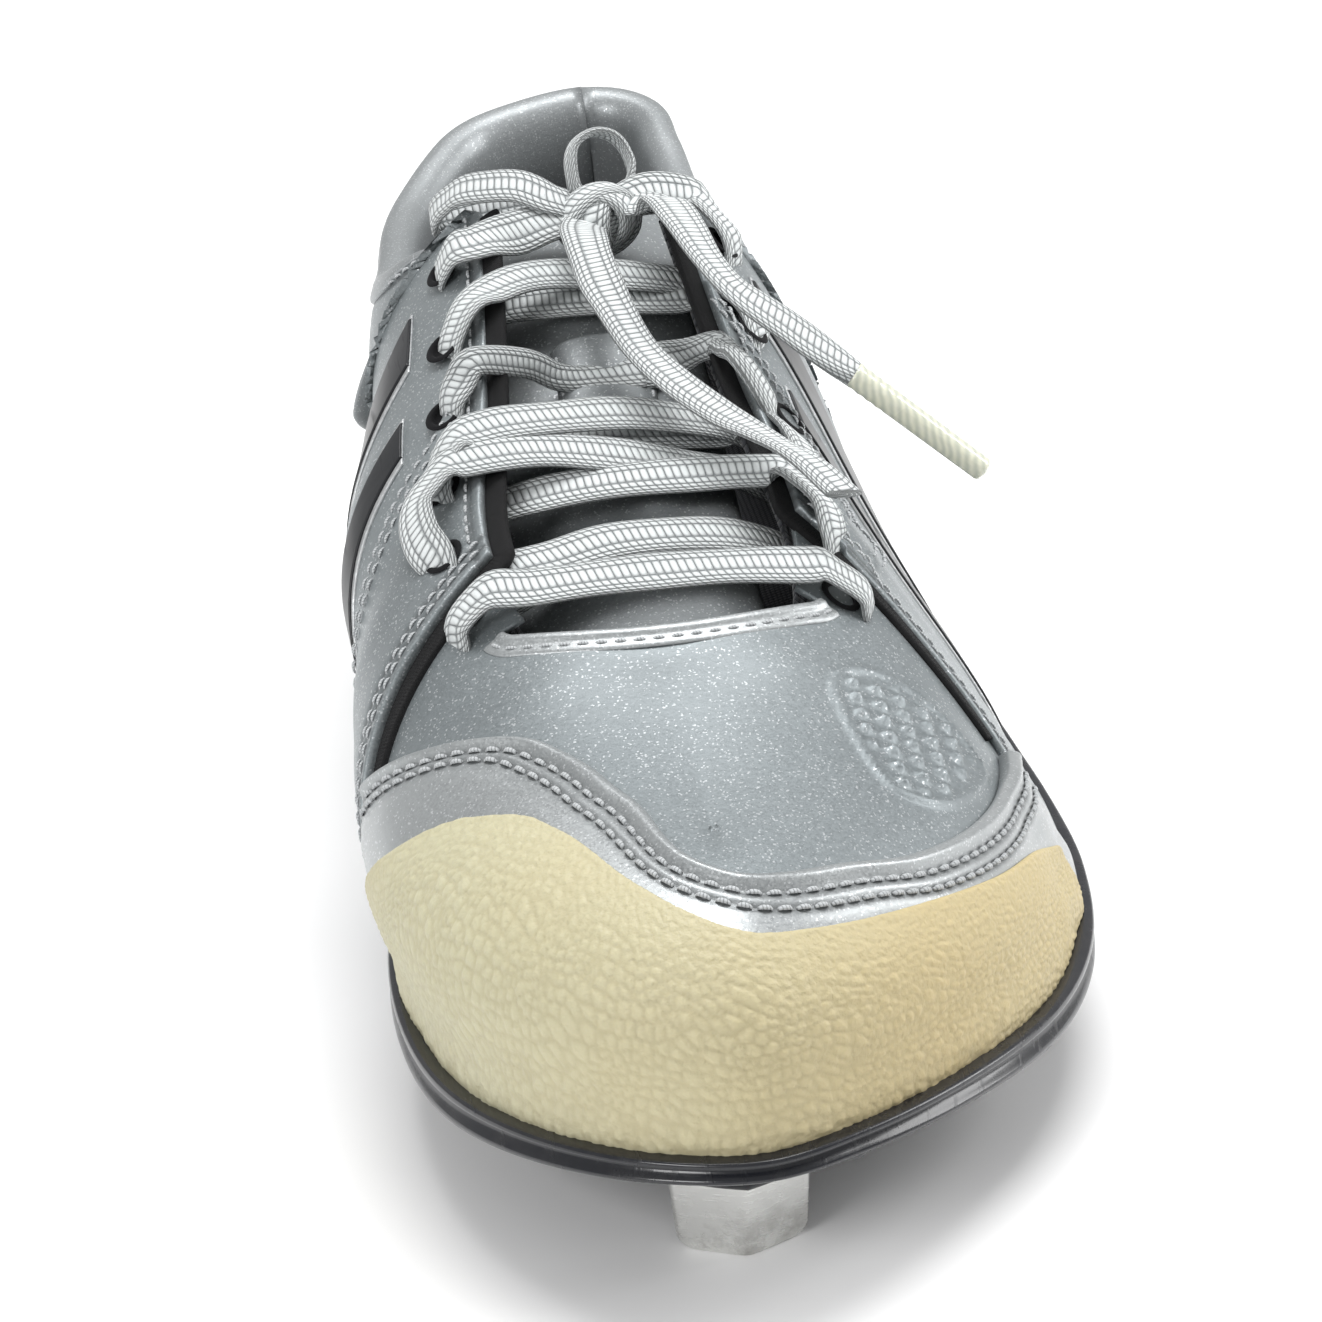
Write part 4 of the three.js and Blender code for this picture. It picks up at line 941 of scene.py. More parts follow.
for side in ("lateral", "medial"):
    front, foot = QUARTER_FRONT[side]
    table = smooth_table(EYESTAY[side])
    s = np.linspace(6, front - 4, 500)
    us = u_at(side, s)
    hs = opening_edge(us)
    raised = 0.05 + EYESTAY_STEP * ease(table(s), 2, 4) * (s > EYESTAY[side][0][0])
    rows = [on_skin(us, inside_line(us, hs, 2.6), raised)]
    b = np.linspace(0.12, 0.97, 160)
    foot_u, front_u = float(u_at(side, foot)), float(u_at(side, front))
    us = foot_u + (front_u - foot_u) * b
    hs = opening_edge(us) * b
    for back in (2.6, 4.8):
        step = U_PER_MM * back * (1 if side == "lateral" else -1)
        lift = 1.0 if side == "medial" else 0.05 + EYESTAY_STEP * ease(b, 0.72, 0.78)
        rows.append(on_skin(us - step, hs, lift))
    s = np.linspace(EYESTAY[side][0][0] + 3, 174 if side == "medial" else 180, 300)
    us = u_at(side, s)
    seam, normal = on_skin(us, inside_line(us, opening_edge(us), table(s)), 1.0)
    inward = unit(np.cross(np.gradient(seam, axis=0), normal))
    inward = inward * np.sign(-inward[:, 1:2])
    rows += [(seam + inward * distance * MM, normal) for distance in (2.0, 4.0)]
    stitches("stitching_quarter_" + side, rows)

# %% [markdown]
# The toe cap is a strip that rises to a crest over each side of the big toe and dips between
# them. It lies over the vamp and over the feet of the quarters, so its height above the skin
# steps up where the quarters begin. Two rows of stitches follow its edge.

# %% Toe cap
CAP_SEAM = smooth_table([(0.68, 0.27), (0.76, 0.38), (0.85, 0.52), (0.9, 0.64), (0.95, 0.73), (1.0, 0.81),
                         (1.06, 0.86), (1.14, 0.9), (1.19, 0.87), (1.24, 0.78), (1.28, 0.55), (1.31, 0.36)])
GUARD_TOP = smooth_table([(0.71, 0.12), (0.76, 0.24), (0.81, 0.32), (0.9, 0.46), (0.99, 0.59), (1.08, 0.71),
                          (1.14, 0.74), (1.18, 0.71), (1.215, 0.59), (1.25, 0.36), (1.29, 0.14)])
QUARTER_FOOT = {side: float(u_at(side, QUARTER_FRONT[side][1])) for side in QUARTER_FRONT}


def cap_lift(us):
    """Height of the cap over the skin: 0 on the vamp, 1.2 mm where it covers a quarter."""
    over = ease(us, QUARTER_FOOT["lateral"] + 0.03, QUARTER_FOOT["lateral"] - 0.005)
    return 1.2 * np.maximum(over, ease(us, QUARTER_FOOT["medial"] - 0.05, QUARTER_FOOT["medial"] + 0.005))


CAP_START, CAP_SPAN = 0.68, 0.63
CAP_ROWS = (3.9, 6.6)
us = CAP_START + CAP_SPAN * crowded(360, 0.006)
tops = CAP_SEAM(us)
grid = columns_and_rows(us, tops, crowded(96, 0.016))
down = border_distance(in_frame(grid))[3]
bead = 0.75 * np.exp(-(((down - 1.5) / 1.0) ** 2)) - 0.25 * np.exp(-(((down - 8.6) / 1.6) ** 2))
shell("toe_cap", grid, cap_lift(us)[:, None], 1.0, silver_strip, 0.7, bead,
      [(3, distance, 0.35) for distance in CAP_ROWS], (1, 1, 0, 1), foot=2.0, stands_for=["toe_cap"])
sewn = us[6:-6]
lines = [on_skin(sewn, inside_line(sewn, tops[6:-6], d), cap_lift(sewn) - 0.02) for d in CAP_ROWS]
stitches("stitching_toe_cap", lines, pitch=2.9, width=0.85)

# %% [markdown]
# The toe guard is the piece the eye goes to. Its pebbles are worked out as cells: points on a
# jittered net, each grid point taking the distance to the nearest two. Where the two are equal
# there is a groove, so the difference makes the pebble. Two nets of different size, one faint,
# keep it irregular, and the pebbles flatten towards the top and the sides as on the real casting.

# %% Pebbles
seeds = np.random.default_rng(11)


def cell_gap(x, y, pitch, jitter=0.42):
    """Distance to the second nearest cell point less that to the nearest, in units of the pitch."""
    size = 160
    shift = seeds.uniform(-jitter, jitter, (size, size, 2))
    gx, gy = x / pitch, y / pitch
    cx, cy = np.floor(gx).astype(int), np.floor(gy).astype(int)
    gaps = []
    for dx in (-1, 0, 1):
        for dy in (-1, 0, 1):
            px, py = cx + dx, cy + dy
            offset = shift[px % size, py % size]
            gaps.append(np.hypot(px + 0.5 + offset[..., 0] - gx, py + 0.5 + offset[..., 1] - gy))
    gaps = np.sort(np.stack(gaps), axis=0)
    return gaps[1] - gaps[0]


GUARD_START, GUARD_SPAN = 0.71, 0.58
PEBBLE, BROAD_PEBBLE = 1.9, 3.4
us = GUARD_START + GUARD_SPAN * crowded(330, 0.006)
tops = GUARD_TOP(us)
grid = columns_and_rows(us, tops, crowded(124, 0.012))
along, _, _, down = border_distance(in_frame(grid))
wide = run_length(grid[:, 30])[:, None] + 0 * down
high = run_length(grid[len(us) // 2])[None] + 0 * down
bend = 0.8 * np.sin(wide / 3.1 + high / 5) + 0.6 * np.sin(high / 2.3 + wide / 7)
gap = cell_gap(wide + bend, high * 1.15 + 0.7 * bend, PEBBLE)
small = cell_gap(wide - bend, high + bend, BROAD_PEBBLE)
calm = 0.45 + 0.55 * ease(down, 1.5, 14) * ease(np.minimum(along, along[-1:] - along), 2, 16)
pebble = calm * (0.26 * ease(gap, 0.0, 0.7) + 0.14 * ease(small, 0.0, 0.9))
# the mark below carries painted shade into the hollows between the pebbles
guard = shell("toe_guard", grid, cap_lift(us)[:, None] + 1.0, 1.1, cream_guard, 0.7, pebble - 0.3, [],
              (1, 1, 0, 1), foot=1.8, marks={"hollow_shade": (1 - ease(gap, 0.0, 0.5)) * calm},
              stands_for=["toe_guard"])
print("guard points:", len(guard.data.vertices))

# %% [markdown]
# Round the heel lies a smooth overlay, and on each side two plain slanted bands of unequal width,
# glossy black between thin pale borders. They are thin films, so their edges stand under a
# millimetre high.

# %% Heel overlay and side bands
across = crowded(150, 0.01)
us = 2 + (across - 0.5) * 0.36
away = np.abs(across - 0.5) * 2
tops = height_at(np.mod(us, 2), 66 - 26 * away**2)
grid = skin(np.mod(us, 2)[:, None], tops[:, None] * crowded(64, 0.02)[None])
shell("heel_counter", grid, 1.1, 1.0, silver_smooth, 0.6, None, [(3, 2.6, 0.22), (3, 5.0, 0.22)],
      (1, 1, 0, 1), foot=2.4, stands_for=["heel_counter"])
lines = [on_skin(us[8:-8] % 2, inside_line(us[8:-8] % 2, tops[8:-8], d), 1.05) for d in (2.6, 5.0)]
stitches("stitching_heel", lines)

BANDS = {"front": (172, 146, 8), "rear": (146, 122, 12)}
for side in ("lateral", "medial"):
    for where, (low, high, width) in BANDS.items():
        for part, grow, lift, finish_with in (("border", 1.3, 0.42, silver_edge), ("", 0, 0.8, black_band)):
            a, b = np.meshgrid(crowded(20, 0.05) - 0.5, crowded(70, 0.01), indexing="ij")
            a = a if side == "lateral" else -a
            s = low + (high - low) * b + a * (width + 2 * grow)
            us = u_at(side, s)
            top = opening_edge(us) - 0.17
            hs = 0.08 + (top - 0.08) * b
            name = f"side_band_{side}_{where}"
            if part:
                shell(name + "_" + part, skin(us, hs), lift, 0.4, finish_with, 0.3)
            else:
                shell(name, skin(us, hs), lift, 0.4, finish_with, 0.35, stands_for=[name])

# %% [markdown]
# The collar is padded: inside the top edge a soft pad swells, and a rolled silver edge joins it
# to the outside. In section it is a loop, drawn once and carried round the opening from one front
# corner past the heel to the other. Below it the dark lining covers the whole inside.

# %% Collar, lining and hidden stiffeners
collar_s = np.concatenate([np.linspace(103, 2, 150), [0.8]])
collar_u = np.concatenate([u_at("medial", collar_s), u_at("lateral", collar_s)[::-1]])
edge_h = opening_edge(collar_u)
edge_h = np.convolve(np.pad(edge_h, 6, mode="edge"), np.ones(13) / 13, mode="valid")
rim, rim_normal = on_skin(collar_u, edge_h, 0.0)
down = in_frame(skin(collar_u, edge_h - 0.03)) - rim
down = unit(down - rim_normal * np.sum(down * rim_normal, -1, keepdims=True))
LOOP = spline([(0.35, 3.0), (0.6, 0.6), (0.3, -1.2), (-1.4, -2.4), (-3.6, -2.3), (-5.6, -0.8),
               (-7.2, 3.0), (-8.4, 9.0), (-8.3, 15), (-7.2, 20), (-6.3, 24), (-5.2, 25), (-4.4, 23),
               (-4.2, 14), (-3.4, 6), (-1.4, 3.4)], 72, True)
fade = ease(np.minimum(np.arange(len(rim)), np.arange(len(rim))[::-1]), 0, 14)[:, None]
loop = LOOP[None, :-1]
shrink = np.stack(np.broadcast_arrays(0.45 + 0.55 * fade, 0.3 + 0.7 * fade, loop[..., 0])[:2], -1)
section = loop * shrink
puff = 0.5 * np.sin(np.arange(len(rim)) / 9.0)[:, None] * np.exp(-(((section[..., 1] - 11) / 6) ** 2))
section = np.stack([section[..., 0] - puff * fade * (section[..., 0] < -6), section[..., 1]], -1)
collar = sweep("collar_padding", (rim, rim_normal, down), section, silver_smooth,
               stands_for=["collar_padding"])

lining_u = np.concatenate([np.linspace(0, THROAT_U - 0.002, 150), np.linspace(THROAT_U, 2 - THROAT_U, 100),
                           np.linspace(2 - THROAT_U + 0.002, 2, 150)])
lining_top = np.where(np.abs(lining_u - 1) <= 1 - THROAT_U, 1.0, opening_edge(lining_u) * 0.985)
grid = columns_and_rows(lining_u, lining_top, crowded(60, 0.02))
shell("upper_lining", grid, -4.6, 0.9, lining_cloth, 0.4, ridge=True, borders=(0, 0, 0, 0),
      stands_for=["upper_lining"])

STIFFENERS = {"toe_puff": (0.8, 1.2, -2.6), "heel_stiffener": (1.8, 2.2, -2.4)}
STIFFENER_THICKNESS = 1.4
for name, (low, high, lift) in STIFFENERS.items():
    us = np.linspace(low, high, 90)
    tops = np.minimum(0.62 * opening_edge(np.where(np.abs(us - 1) < 0.25, THROAT_U - 0.01, us)), 0.6)
    tops = tops * (1 - 0.25 * (2 * (us - low) / (high - low) - 1) ** 2)
    grid = skin(np.mod(us, 2)[:, None], tops[:, None] * crowded(24, 0.03)[None])
    shell(name, grid, lift, STIFFENER_THICKNESS, board, 0.6, stands_for=[name])

# %% [markdown]
# Where the eyelet rows run, the quarter's cut edge shows dark binding. A flat dark tape follows
# each side of the lace opening under the quarter, and goes on down the quarter's front edge; along
# that edge it is a painted shadow, a dark strip standing for the shadow gap under the quarter's
# lifted edge. The vamp's own rear edge is a rolled and stitched silver cord.

# %% Throat edges
TAPE = spline([(-3, 0.4), (0, 0.4), (0.8, 0.2), (1, -0.2), (0.8, -0.6), (-1, -0.8), (-3, -0.8),
               (-3.2, 0)], 25, closed=True)[:-1]
for side in ("lateral", "medial"):
    front, foot = (float(u_at(side, s)) for s in QUARTER_FRONT[side])
    b = np.linspace(0.99, 0.36, 120)
    us = np.concatenate([u_at(side, np.linspace(106, QUARTER_FRONT[side][0], 240)),
                         foot + (front - foot) * b])
    hs = opening_edge(us) * np.concatenate([np.ones(240), b])
    p, n = on_skin(us, hs, -0.9)
    route = evenly(np.concatenate([p, n * MM], -1), 300)
    p, n = route[:, :3], unit(route[:, 3:])
    out = unit(np.cross(n, np.gradient(p, axis=0))) * (1 if side == "lateral" else -1)
    share = run_length(p) / run_length(p)[-1]
    reach = 0.9 + 2.7 * ease(share, 0.72, 0.55)[:, None] * ease(share, 0.0, 0.15)[:, None]
    tape = np.stack([np.where(TAPE[None, :, 0] > 0, TAPE[None, :, 0] * reach, TAPE[None, :, 0] + 0 * reach),
                     TAPE[None, :, 1] - 0.5 * ease(TAPE[None, :, 0], 0, 1) * (reach - 0.9)], -1)
    # along the lace opening this tape is dark binding; down the quarter's front edge it is painted shadow,
    # a dark strip standing for the shadow gap
    sweep("throat_binding_" + side, (p, out, n), tape, dark_binding_and_shade)

rear = (vamp_top > 0.1) & (vamp_top < ON_RIDGE) & (skin(vamp_u, vamp_top)[..., 0] > 201)
lip, lip_normal = on_skin(vamp_u[rear], vamp_top[rear], -1.2)
route = evenly(np.concatenate([lip, lip_normal * MM], -1), 220)
lip, lip_normal = route[:, :3], unit(route[:, 3:])
smooth_lip = np.stack([np.convolve(np.pad(lip[:, k], 9, mode="edge"), np.ones(19) / 19, mode="valid")
                       for k in range(3)], -1)
along = unit(np.gradient(smooth_lip, axis=0))
forward = unit(np.cross(lip_normal, along))
forward = forward * np.sign(-forward[:, 1:2])
bead = spline([(-1.0, -0.2), (-0.7, 0.6), (0.2, 0.75), (1.1, 0.35), (2.6, 0.25), (3.1, -0.05),
               (2.4, -0.6), (-0.6, -0.9)], 33, True)
sweep("throat_piping", (smooth_lip, forward, lip_normal), bead[:-1], silver_strip)
stitches("stitching_throat", [(smooth_lip + forward * 1.7 * MM + lip_normal * 0.32 * MM, lip_normal)],
         pitch=2.7)

# %% [markdown]
# The tongue is an arched pad under the laces. It swells a little between the crossings, its top
# rolls over, and a keeper strap is sewn across it for a lace to pass under.

# %% Tongue
TONGUE_BACK, TONGUE_FRONT = 88, 212
TONGUE_THICKNESS = 3.2
KEEPER_BACK, KEEPER_FRONT, KEEPER_HALF = 129.5, 144.5, 7.6


def tongue_point(s, x, lift=0.0):
    """Arched sheet: the tongue's top line less a parabola across, raised by lift."""
    return place(s, x, tongue_top(s) - (x - ridge_x(s)) ** 2 / 60 + lift)


a, b = np.meshgrid(crowded(170, 0.01), crowded(56, 0.03) * 2 - 1, indexing="ij")
s = TONGUE_BACK + (TONGUE_FRONT - TONGUE_BACK) * a
taper = np.clip((s - TONGUE_BACK) / 8, 0, 1)
taper = 0.74 + 0.26 * np.sqrt(1 - (1 - taper) ** 2)
x = ridge_x(s) + np.where(b > 0, 17, 20) * b * taper
swell = 0.5 * np.cos(2 * np.pi * (s - 106) / 15) * np.exp(-((b / 0.7) ** 2)) + 0.25 * np.sin(s / 6 + b * 3)
swell = swell * ease(s, 96, 106)
edge_drop = rolled(np.minimum((1 - np.abs(b)) * 18, np.minimum(s - TONGUE_BACK, TONGUE_FRONT - s)), 1.5)
top = tongue_point(s, x, swell - edge_drop)
under = tongue_point(s, x, -TONGUE_THICKNESS + edge_drop * 0.8)
faces = slab_faces(a.shape, turned=True)
uv = np.stack([a * 0.13, b * 0.018], -1).reshape(-1, 2)
tongue_piece = make("tongue", np.concatenate([top.reshape(-1, 3), under.reshape(-1, 3)]), faces,
                    silver_tongue, "tongue", ["tongue"], np.concatenate([uv, uv]))

s = np.linspace(KEEPER_BACK, KEEPER_FRONT, 40)
t = np.linspace(-1, 1, 60)
a, b = np.meshgrid(s, t, indexing="ij")
x = ridge_x(a) + KEEPER_HALF * b
hump = 1.5 * (1 - b**6) + 0.35 * np.sin((a - 129) / 2.4) * (1 - b**2)
top = tongue_point(a, x, 0.5 + hump)
under = tongue_point(a, x, 0.3 + hump * 0.72)
faces = slab_faces(a.shape, turned=True)
make("tongue_loop", np.concatenate([top.reshape(-1, 3), under.reshape(-1, 3)]), faces, silver_tongue,
     "tongue", ["tongue_loop"], np.concatenate([np.stack([a, x], -1).reshape(-1, 2) * MM] * 2))
rows = []
for side in (-1, 1):
    s = np.linspace(131, 143, 60)
    p = tongue_point(s, ridge_x(s) + side * 6.9, 1.1)
    rows.append((p, np.broadcast_to([0, -0.37, 0.93], p.shape)))
stitches("stitching_keeper", rows, "tongue", pitch=2.2)

# %% [markdown]
# The laces are flat tubular braid, about 7.5 mm wide and a little over 1 mm thick, with rounded
# edges. A strand is this section carried along a spline. A list of points says where it goes, and
# an up direction for each point says how it lies: flat over the tongue, on edge round an eyelet.

# %% Flat braid
INSTEP_UP = np.array([0, -0.37, 0.93])
LACE_WIDTH = 7.4
LACE_THICKNESS = 1.35


def braid_section(width, thickness, count=22):
    """Flat oval: cosine and sine raised to 0.55 and 0.8, so the faces are flat and the edges round."""
    t = np.linspace(0, 2 * np.pi, count, endpoint=False)
    across = np.sign(np.cos(t)) * np.abs(np.cos(t)) ** 0.55
    up = np.sign(np.sin(t)) * np.abs(np.sin(t)) ** 0.8
    width, thickness = np.atleast_1d(width)[:, None], np.atleast_1d(thickness)[:, None]
    return np.stack(np.broadcast_arrays(width / 2 * across, thickness / 2 * up), -1)


def strand_frames(points, ups, step=0.8):
    """Centres, sides and ups along the spline through points, every step mm, ups blended evenly."""
    route = place(*np.array(points, float).T)
    ups = unit(np.array(ups, float))
    dense = spline(np.concatenate([route, ups * 0.05], -1), 60 * len(points))
    run = run_length(dense[:, :3])
    at = np.linspace(0, run[-1], max(int(run[-1] / MM / step), 12))
    dense = np.stack([np.interp(at, run, dense[:, k]) for k in range(6)], -1)
    centre = dense[:, :3]
    tangent = unit(np.gradient(centre, axis=0))
    side = unit(np.cross(tangent, dense[:, 3:]))
    return centre, side, unit(np.cross(side, tangent))


def strand(name, points, ups=None, width=LACE_WIDTH, thickness=LACE_THICKNESS, stands_for=(), scale=None):
    """A lace along points, each (s, x, z); scale is a table of width and thickness along its length."""
    ups = [INSTEP_UP] * len(points) if ups is None else ups
    frames = strand_frames(points, ups)
    share = np.linspace(0, 1, len(frames[0]))
    wide, thick = width + 0 * share, thickness + 0 * share
    if scale:
        wide = wide * smooth_table([(a, b) for a, b, c in scale])(share)
        thick = thick * smooth_table([(a, c) for a, b, c in scale])(share)
    wide = wide * (1 + 0.035 * np.sin(run_length(frames[0]) / MM / 3.3 + len(points)))
    return sweep(name, frames, braid_section(wide, thick), lace_braid, stands_for=stands_for), frames[0]


# %% [markdown]
# Eyelets are plain punched holes, so each is a shallow dark cup with a pressed rim, its dark colour
# a painted shade standing in for the open hole. There are six on each side, set in the eyestay or,
# in front of the quarter's edge, in the vamp.

# %% Eyelets
EYELET_MARGIN = 7
EYELETS = {"medial": (194, 181, 165, 149, 133, 114), "lateral": (197, 186, 170, 155, 134, 114)}
turn = np.linspace(0, 2 * np.pi, 28, endpoint=False)
CUP = np.array([(3.3, 0.0), (2.9, 0.22), (2.45, 0.26), (2.2, 0.08), (2.1, -0.5), (1.9, -0.9), (0.01, -0.9)])
for side, stations in EYELETS.items():
    points, faces = [], []
    for k, s in enumerate(stations):
        u = np.atleast_1d(u_at(side, float(s)))
        h = inside_line(u, opening_edge(u), EYELET_MARGIN)
        on_vamp = s > QUARTER_FRONT[side][0]
        middle, n = on_skin(u, h, -1.2 if on_vamp else 1.05)
        x_axis = unit(np.cross(n, [[0, 0, 1.0]]))
        y_axis = np.cross(n, x_axis)
        circle = np.cos(turn)[None, :, None] * x_axis + np.sin(turn)[None, :, None] * y_axis
        ring = CUP[:, None, 0, None] * circle
        faces.append(quads(len(CUP), 28, len(CUP) * 28 * k, wrap=True))
        points.append((middle + (ring + CUP[:, None, 1, None] * n) * MM).reshape(-1, 3))
    count = sum(len(p) for p in points)
    # the dark cups are painted shade standing in for the open holes
    make("eyelets_" + side, np.concatenate(points), np.concatenate(faces), dark_binding_and_shade,
         uv=np.zeros((count, 2)), weld=False)

# %% [markdown]
# The lacing runs from the bar at the toe end up to the knot. The strands aren't neat: some leave
# the eyelets outward and bend back over the eyestay, some come up from under it, one is twisted
# on edge under the keeper strap. They stand clear of the tongue between the two eyestays, as
# laces do that have been pulled tight over a foot and then left.

# %% Crossing strands
FLAT = tuple(INSTEP_UP)
OUT_LEFT, OUT_RIGHT = (-0.75, -0.25, 0.6), (0.75, -0.25, 0.6)
HALF_LEFT, HALF_RIGHT = (-0.3, -0.4, 0.85), (0.4, -0.3, 0.85)
UPRIGHT = (0.1, -0.95, 0.3)
STRANDS = {
    "lace_bar": (
        [(197, -37.6, 62.8), (196.6, -37.4, 66.2), (196.5, -34.5, 69.6), (197, -24.6, 71),
         (197, -11.4, 71.4), (197, 3, 70.9), (197, 12.2, 70), (197.3, 18.5, 68), (197.6, 22, 64.8),
         (197.6, 22.6, 61.8)],
        [OUT_LEFT] * 3 + [FLAT] * 4 + [OUT_RIGHT] * 3),
    "lace_cross_1_over": (
        [(188, -34, 66), (186.5, -30.8, 69), (184.5, -21.2, 70.1), (183.5, -13, 71.3), (183, -1.9, 71),
         (181, 6.3, 69), (179, 12, 66), (178, 16, 62)],
        None),
    "lace_cross_1_under": (
        [(184, -31, 63), (183, -25, 65.6), (181, -18, 67), (180, -11.8, 67.2), (180, -0.5, 66.6),
         (179, 9, 64.4), (178, 15, 61)],
        None),
    "lace_cross_2_over": (
        [(182, -37, 66.5), (181, -38.4, 69.8), (177, -40.3, 72.2), (171, -40.3, 75.2), (167.5, -37, 78),
         (165.5, -30.5, 79.8), (164, -20.4, 79.3), (164, -10.7, 77.6), (162, 1, 73.9), (159, 8, 70.8),
         (157, 14, 67)],
        [OUT_LEFT] * 5 + [HALF_LEFT] + [FLAT] * 5),
    "lace_cross_2_under": (
        [(165, -32, 69), (166.5, -27.7, 71.8), (168, -19.6, 74), (170, -8.7, 75.4), (171, 3, 75.5),
         (172.5, 10.6, 75.6), (177, 16.4, 75), (182, 19.3, 72.8), (186, 19.6, 70), (187, 19.4, 66.5)],
        [FLAT] * 6 + [OUT_RIGHT] * 4),
    "lace_cross_3_over": (
        [(167, -35.6, 71.5), (166, -36.8, 75.2), (162, -34.6, 79.6), (159.5, -28, 82.2), (158, -18, 82),
         (156, -6.7, 80.8), (154.5, 2.1, 78.4), (152, 9, 75.4), (150, 14, 72)],
        [OUT_LEFT] * 3 + [HALF_LEFT] + [FLAT] * 5),
    "lace_cross_3_under": (
        [(150, -29, 74), (151, -24, 76), (153.5, -15.2, 77.2), (154, -3.8, 76.3), (151.5, 7, 74.6),
         (153, 13, 75.6), (158, 16.8, 77), (165, 18.6, 76.2), (170, 19.2, 73.6), (171, 19.2, 70.5)],
        [FLAT] * 5 + [HALF_RIGHT] + [OUT_RIGHT] * 4),
    "lace_cross_4_over": (
        [(150, -31.6, 77), (149.5, -32.3, 81), (148.5, -30.5, 86), (146.5, -26.4, 88.2),
         (142, -20.1, 85.4), (139, -14.5, 81.4), (138, -7.4, 80.2), (138, -1.4, 80.6)],
        [OUT_LEFT] * 2 + [(-0.6, -0.7, 0.4)] + [UPRIGHT] * 2 + [(0, -0.8, 0.6)] + [FLAT] * 2),
    "lace_cross_4_under": (
        [(138, -3, 80.4), (138.5, 3.9, 82.4), (142, 8, 85), (148, 10.8, 86), (153.5, 13, 84.4),
         (156, 15.2, 80.4), (156, 16.4, 76.5)],
        [FLAT] + [UPRIGHT] * 2 + [(0.5, -0.6, 0.6)] + [OUT_RIGHT] * 3),
    "lace_cross_5_over": (
        [(134, -30, 81.5), (134, -31, 85), (132.5, -29, 90), (128, -22.8, 93), (124, -15.1, 93.2),
         (122.5, -6.4, 92), (121, 2, 90), (119.5, 9, 87.6), (118, 13, 84.5)],
        [OUT_LEFT] * 3 + [HALF_LEFT] + [FLAT] * 5),
    "lace_cross_5_under": (
        [(118, -25, 84), (119.5, -21, 86.4), (122, -14, 87.8), (124, -6, 88.2), (124, 2, 87.4),
         (124.5, 9, 87), (128, 14.6, 87.4), (132.5, 17, 85.4), (134.5, 17.4, 82.4), (134.5, 17, 79.6)],
        [FLAT] * 5 + [HALF_RIGHT] + [OUT_RIGHT] * 4),
    "lace_tie_medial": (
        [(113, -28.6, 86.4), (113.5, -30, 90.4), (116, -28.6, 95), (117, -24.1, 97.2),
         (113, -17.5, 96.8), (111, -12.5, 97.2), (109, -7, 97)],
        [OUT_LEFT] * 3 + [(-0.3, -0.5, 0.8), (0, -0.8, 0.6), (0, -0.6, 0.8), FLAT]),
    "lace_tie_lateral": (
        [(108, -1, 98), (107, 5, 99.2), (107.5, 10, 98.6), (110, 14, 96.4), (113.5, 16.8, 92.6),
         (114.5, 16.8, 88)],
        [FLAT, (0, -0.7, 0.7), (0.2, -0.7, 0.7)] + [OUT_RIGHT] * 3),
}
THIN = [(0, 1, 1), (0.15, 0.9, 1.1), (0.35, 0.6, 1.9), (0.7, 0.62, 1.8), (1, 1, 1)]
for name, (points, ups) in STRANDS.items():
    strand(name, points, ups, stands_for=[name], scale=THIN if "cross_4" in name else None)
print("strands:", len(STRANDS))

# %% [markdown]
# The knot is the flat braid wound on itself. A few short strands wrap a soft core, each a tilted
# ring with its ends hidden in the others. The two bow loops are strands that leave the knot and
# come back to it.

# %% Knot and bow loops
KNOT = np.array([108, -3.5, 95.8])
ring = np.linspace(0.1, 2 * np.pi - 0.1, 11)
WRAPS = {"lace_knot": (0.35, 0.25, 6.0, 0), "lace_knot_wrap": (-0.5, 0.5, 5.4, 1.1),
         "lace_knot_cross": (1.2, -0.2, 5.0, 2.2)}
for name, (tilt, lean, radius, phase) in WRAPS.items():
    a = ring + phase
    flat = np.stack([0 * a, radius * np.cos(a), radius * 0.8 * np.sin(a)], -1)
    spin = np.array(Matrix.Rotation(tilt, 3, "Z") @ Matrix.Rotation(lean, 3, "X"))
    outward = flat @ spin.T
    points = KNOT + outward
    ups = unit(outward * [-1, 1, 1])
    ups = np.stack([ups[:, 1], ups[:, 0], ups[:, 2]], -1)
    strand(name, points, ups, width=6.2, thickness=1.9,
           stands_for=["lace_knot"] if name == "lace_knot" else ())
t, p = np.meshgrid(np.linspace(0, 2 * np.pi, 40, endpoint=False), np.linspace(0.02, np.pi - 0.02, 24))
lump = 1 + 0.06 * np.sin(3 * t + 2 * p)
core = place(KNOT[0] + 4.6 * lump * np.sin(p) * np.cos(t), KNOT[1] + 4.8 * lump * np.sin(p) * np.sin(t),
             KNOT[2] + 4 * np.cos(p))
uv = np.stack([t * 0.005, p / np.pi], -1)
make("lace_knot_core", core, quads(24, 40, wrap=True), lace_braid, uv=uv)

